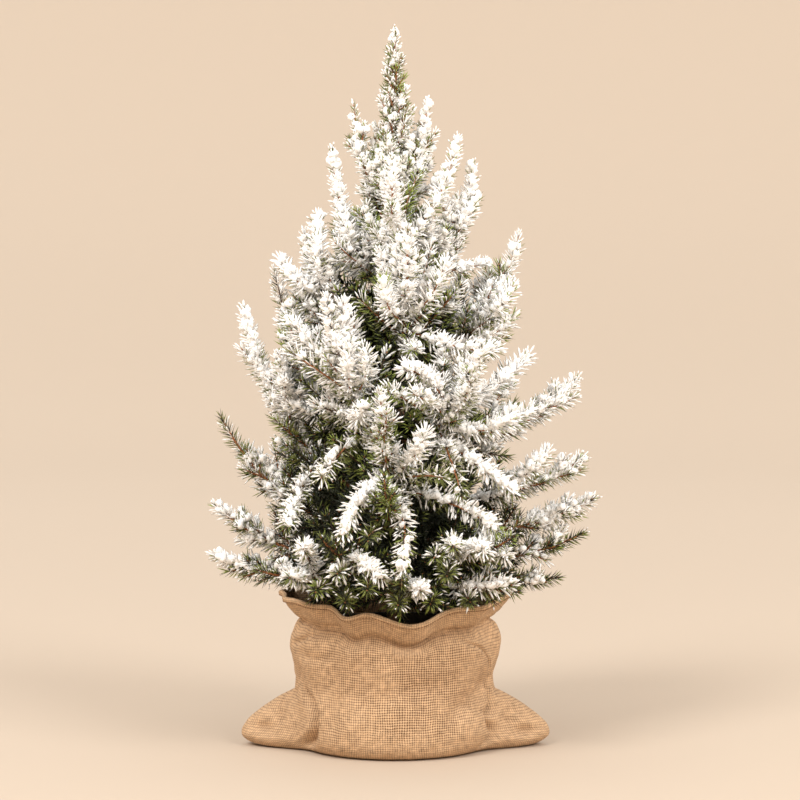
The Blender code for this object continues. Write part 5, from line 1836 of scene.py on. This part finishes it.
def hollowness(rows):
    """How far each point of a grid that runs round a body lies under the mean of the points
    about it, along the outward normal, as a share of HOLLOW_FULL."""
    out = unit(np.cross(np.roll(rows, -1, axis=1) - np.roll(rows, 1, axis=1), np.gradient(rows, axis=0)))
    steps = range(-HOLLOW_STEPS, HOLLOW_STEPS + 1)
    mean = sum(np.roll(rows, k, axis=1) for k in steps) / len(steps)
    padded = np.pad(mean, ((HOLLOW_STEPS, HOLLOW_STEPS), (0, 0), (0, 0)), mode="edge")
    mean = sum(padded[HOLLOW_STEPS + k : HOLLOW_STEPS + k + len(rows)] for k in steps) / len(steps)
    return np.clip(((mean - rows) * out).sum(axis=2) / HOLLOW_FULL, 0, 1)


def looseness(turn, height):
    """Open mesh over the middle of the front and back, tight at the seams and the rim."""
    faces = LOOSE_SHARES[0] + LOOSE_SHARES[1] * np.abs(np.sin(turn)) ** 2
    band = smooth_step(*LOOSE_STARTS, height) * (1 - smooth_step(*LOOSE_ENDS, height))
    noise = LOOSE_MEAN + patches(round_trunk(NOISE_R, turn, height), *LOOSE_PATCHES)
    return np.clip(band * faces * noise, 0.0, 1.0)


def jute_finish(sack):
    """Jute: the weave group over the cloth's own flat place, looser and darker where the
    attributes say."""
    finish = new_finish("jute_weave", sack.jute_colour, 0.9)
    graph, _ = shading(finish)
    # The second attribute darkens the hollows of the cloth: painted shade in its creases
    loose, hollow = (graph.put("ShaderNodeAttribute", attribute_name=name).outputs["Fac"]
                     for name in ("looseness", "hollow"))
    # The gap colour is painted shade of the sack's inside, with the dark pot, seen through the weave
    inputs = {"Place": graph.put("ShaderNodeUVMap", uv_map="cloth").outputs[0],
              "Loose": loose, "Hollow": hollow, "Pitch": sack.thread_pitch,
              "Thread": (*sack.jute_colour, 1), "Gap": (*sack.painted_gap_shade_colour, 1)}
    return patterned(finish, weave_group(), 0.0004, inputs)


class SPRUCE_OT_sack(bpy.types.Operator):
    """The jute sack with its rolled hem, creases and weave, and the stitches of the hem."""

    bl_idname = "spruce.sack"
    bl_label = "Jute sack"

    def execute(self, context):
        sack = context.scene.spruce_sack
        turn = (full_turn(SACK_AROUND) + math.pi) % (2 * math.pi) - math.pi
        outer, run = smooth_line(SACK_OUTER, OUTER_ROWS)
        outside = sack_cloth(turn, outer[:, :1], outer[:, 1:], inner=False)
        edge_r, edge_z = SACK_OUTER[-1]
        roll = np.linspace(*HEM_ROLL, HEM_ROWS)[:, None] * math.pi
        hem_r = edge_r + HEM_OUT * sack.hem_radius + sack.hem_radius * np.cos(roll)
        hem_z = edge_z + sack.hem_radius + sack.hem_radius * np.sin(roll)
        hem = sack_cloth(turn, hem_r, hem_z, inner=True)
        hem += outside[-1] - sack_cloth(turn, np.array([[edge_r]]), np.array([[edge_z]]), inner=True)[0]
        inner, inner_run = smooth_line(SACK_INNER, INNER_ROWS)
        inside = sack_cloth(turn, inner[:, :1], inner[:, 1:], inner=True)
        rows = np.concatenate((outside, hem, inside))
        hem_run = run[-1] + sack.hem_radius * (roll[:, 0] - roll[0, 0])
        run = np.concatenate((run, hem_run, hem_run[-1] + inner_run))
        mesh = shell("jute_sack", rows, np.zeros(3), SACK_FLOOR * UP, *halves_laid_flat(rows, run))
        loose = looseness(turn, outer[:, 1:])
        # Painted shade in the creases: how deep each point lies in a hollow of the cloth
        hollow = hollowness(outside) * smooth_step(0.0, HOLLOW_RISE, outside[..., 2])
        tight = np.zeros((HEM_ROWS + INNER_ROWS, SACK_AROUND))
        for name, values in (("looseness", loose), ("hollow", hollow)):
            values = np.concatenate(((0.0,), np.concatenate((values, tight)).ravel(), (0.0,)))
            field = mesh.attributes.new(name, "FLOAT", "POINT")
            field.data.foreach_set("value", values.astype(np.float32))
        add_piece("jute_sack", mesh, jute_finish(sack), "jute", "sack")
        self.stitches(sack, hem[1])
        return {"FINISHED"}

    def stitches(self, sack, foot):
        """Short stitches along the foot of the rolled hem, one each pitch along it."""
        loop = np.concatenate((foot, foot[:1]))
        run = run_along(loop)
        middle = points_at(loop, run, np.arange(0, run[-1], sack.stitch_pitch))
        ahead = unit(np.roll(middle, -1, axis=0) - np.roll(middle, 1, axis=0))
        out = unit(middle * (1, 1, 0))
        starts = middle - 0.5 * STITCH_LENGTH * ahead + STITCH_OUT * out
        size, width = np.full((2, len(middle)), ((STITCH_LENGTH,), (STITCH_WIDTH,)))
        points, faces = spindles(starts, ahead, size, width, STITCH_FORM, STITCH_SIDES, 0 * size)
        finish = new_finish("stitch_thread", sack.stitch_colour, 0.9)
        add_piece("hem_stitches", mesh_of("hem_stitches", points, faces), finish, "jute")


# Rows of the soil's top and edge, and the shares of its radius where the edge starts and the
# top ends
SOIL_ROWS = 44
SOIL_EDGE_ROWS = 6
SOIL_EDGE_START = 0.9
SOIL_MIDDLE = 0.012
SOIL_AROUND = 120
# How far the soil falls off to its edge, how far its crumbs sink, and from where in they show
SOIL_FALL = 0.003
SOIL_SINK = 0.0012
CRUMBS_START = 0.95
# Crumbs of the soil: reach, size and seed
SOIL_CRUMBS = ((0.0011, 0.009, 91), (0.0007, 0.0035, 92))
# Width of the soil's flat places, for each metre of its rows
SOIL_FLAT = 0.5


class SPRUCE_OT_pot(bpy.types.Operator):
    """The nursery pot's finish and the crumbly top of its soil."""

    bl_idname = "spruce.pot"
    bl_label = "Pot and soil"

    def execute(self, context):
        sack = context.scene.spruce_sack
        plastic = mottled_finish("pot_plastic_grain", sack.pot_colour, (2.6, 1.0),
                                 roughness=0.45, coarse=200.0, fine=1500.0, relief=0.0001)
        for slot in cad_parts["nursery_pot"].material_slots:
            slot.material = plastic
        low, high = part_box("soil")
        reach = np.concatenate((np.linspace(SOIL_EDGE_START, 1, SOIL_EDGE_ROWS),
                                np.linspace(1, SOIL_MIDDLE, SOIL_ROWS))) * SOIL_EDGE_R
        rise = np.concatenate((np.linspace(low.z, high.z - SOIL_FALL, SOIL_EDGE_ROWS),
                               high.z - SOIL_FALL * (reach[SOIL_EDGE_ROWS:] / SOIL_EDGE_R) ** 2))
        reach, rise = reach[:, None], rise[:, None]
        turn = full_turn(SOIL_AROUND)
        flat = round_trunk(reach, turn, 0.0)[..., :2]
        crumbs = sum(patches(flat, *sizes) for sizes in SOIL_CRUMBS)
        top = smooth_step(SOIL_EDGE_R, CRUMBS_START * SOIL_EDGE_R, reach)
        top[:SOIL_EDGE_ROWS] = 0.0
        rows = round_trunk(reach, turn, rise + top * (crumbs - SOIL_SINK))
        uv = np.stack(np.broadcast_arrays(np.linspace(0, SOIL_FLAT, SOIL_AROUND + 1), reach), axis=-1)
        mesh = shell("soil_top", rows, low.z * UP, (high.z - SOIL_SINK) * UP, uv[:, :-1], uv[:, 1:])
        soil = mottled_finish("soil_crumbs", sack.soil_colour, (1.9, 1.0),
                              roughness=0.95, coarse=90.0, fine=700.0, relief=0.0012)
        add_piece("soil_top", mesh, soil, "soil_brown", "soil")
        return {"FINISHED"}


# Stage


FLOOR_PROFILE = ((0.0, 0.0), (2.6, 0.0), (4.2, 0.12), (5.6, 0.75), (6.4, 2.1), (6.7, 4.2))
FLOOR_ROWS = 60
FLOOR_AROUND = 96
FLOOR_GAP = 0.0004
# Where the floor's colour starts to turn into the wall's, and where it has turned
FLOOR_TURNS = (0.5, 3.2)
WORLD_COLOUR = (1.0, 0.99, 0.975, 1.0)
# Square soft lights: name, size, place and colour
LAMPS = (
    ("key", 2.0, (-2.6, -3.6, 4.2), (1.0, 0.992, 0.98)),
    ("fill", 2.2, (3.2, -3.4, 3.2), (1.0, 0.99, 0.975)),
)


class SPRUCE_OT_stage(bpy.types.Operator):
    """A seamless pale floor that turns up all round, soft lights and the camera."""

    bl_idname = "spruce.stage"
    bl_label = "Stage"

    def execute(self, context):
        stage = context.scene.spruce_stage
        line = smooth_line(FLOOR_PROFILE, FLOOR_ROWS)[0][1:]
        rows = round_trunk(line[:, :1], full_turn(FLOOR_AROUND), line[:, 1:] - FLOOR_GAP)
        grid = np.arange(rows[..., 0].size).reshape(len(rows), FLOOR_AROUND)
        after = np.roll(grid, -1, axis=1)
        faces = np.stack((grid[:-1], grid[1:], after[1:], after[:-1]), axis=-1).reshape(-1, 4)
        mesh = bpy.data.meshes.new("floor")
        mesh.from_pydata(rows.reshape(-1, 3), [], faces.tolist() + [grid[0].tolist()])
        mesh.shade_smooth()
        finish = new_finish("floor_paper", stage.floor_colour, 0.8)
        graph, shader = shading(finish)
        place = graph.put("ShaderNodeTexCoord").outputs["Object"]
        away = graph.vectors("LENGTH", {0: place}).outputs["Value"]
        far = graph.ranged(away, *FLOOR_TURNS)
        colour = graph.blend(far, (*stage.floor_colour, 1), (*stage.wall_colour, 1))
        graph.feed(shader, {"Base Color": colour})
        mesh.materials.append(finish)
        floor = bpy.data.objects.new("floor", mesh)
        context.scene.collection.objects.link(floor)
        floor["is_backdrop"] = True
        world = bpy.data.worlds.new("studio")
        world.use_nodes = True
        Graph(world.node_tree).feed(world.node_tree.nodes["Background"],
                                    {"Color": WORLD_COLOUR, "Strength": stage.world_strength})
        context.scene.world = world
        for name, size, place, colour in LAMPS:
            self.light(name, getattr(stage, f"{name}_power"), size, place, colour)
        context.scene.view_settings.view_transform = "Standard"
        self.camera(stage)
        return {"FINISHED"}

    def light(self, name, power, size, place, colour):
        """A square soft light at a place, aimed at the middle of the crown."""
        lamp = bpy.data.lights.new(name, "AREA")
        lamp.energy, lamp.size, lamp.color = power, size, colour
        holder = bpy.data.objects.new(name, lamp)
        bpy.context.scene.collection.objects.link(holder)
        holder.location = place
        aim = (CAD_BOX[0] + CAD_BOX[1]) / 2 - holder.location
        holder.rotation_euler = aim.to_track_quat("-Z", "Y").to_euler()

    def camera(self, stage):
        """The camera at the photo's viewpoint."""
        view = bpy.data.cameras.new("camera")
        view.lens, view.sensor_width = stage.camera_lens, SENSOR_WIDTH
        view.dof.use_dof = False
        holder = bpy.data.objects.new("camera", view)
        bpy.context.scene.collection.objects.link(holder)
        holder.location = (PHOTO_CAMERA[0], -stage.camera_distance, stage.camera_height)
        holder.rotation_euler = (math.pi / 2 - stage.camera_drop, 0.0, 0.0)
        bpy.context.scene.camera = holder


OPERATORS = (SPRUCE_OT_stage, SPRUCE_OT_pot, SPRUCE_OT_sack, SPRUCE_OT_bark, SPRUCE_OT_twigs,
             SPRUCE_OT_needles, SPRUCE_OT_snow, SPRUCE_OT_buds)


class SPRUCE_PT_panel(bpy.types.Panel):
    """Lists the operators in the sidebar of the 3D view."""

    bl_label = "Snowy potted spruce"
    bl_idname = "SPRUCE_PT_panel"
    bl_space_type = "VIEW_3D"
    bl_region_type = "UI"
    bl_category = "Spruce"

    def draw(self, context):
        """A button for each operator."""
        for operator in OPERATORS:
            self.layout.operator(operator.bl_idname)


SETTINGS = {"spruce_crown": CrownSettings, "spruce_sack": SackSettings, "spruce_stage": StageSettings}
CLASSES = (*SETTINGS.values(), *OPERATORS, SPRUCE_PT_panel)


def register():
    """Registers the classes and hangs the settings on the scene."""
    for kind in CLASSES:
        bpy.utils.register_class(kind)
    for name, kind in SETTINGS.items():
        setattr(bpy.types.Scene, name, bpy.props.PointerProperty(type=kind))


def unregister():
    """Takes the settings off the scene and unregisters the classes."""
    for name in reversed(SETTINGS):
        delattr(bpy.types.Scene, name)
    for kind in reversed(CLASSES):
        bpy.utils.unregister_class(kind)


def main():
    """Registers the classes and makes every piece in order."""
    register()
    bpy.ops.spruce.stage()
    bpy.ops.spruce.pot()
    bpy.ops.spruce.sack()
    bpy.ops.spruce.bark()
    bpy.ops.spruce.twigs()
    bpy.ops.spruce.needles()
    bpy.ops.spruce.snow()
    bpy.ops.spruce.buds()
    boxes = {"cad": CAD_BOX, "visual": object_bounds()}
    sizes = {name: [list(low), list(high)] for name, (low, high) in boxes.items()}


if __name__ == "__main__":
    main()
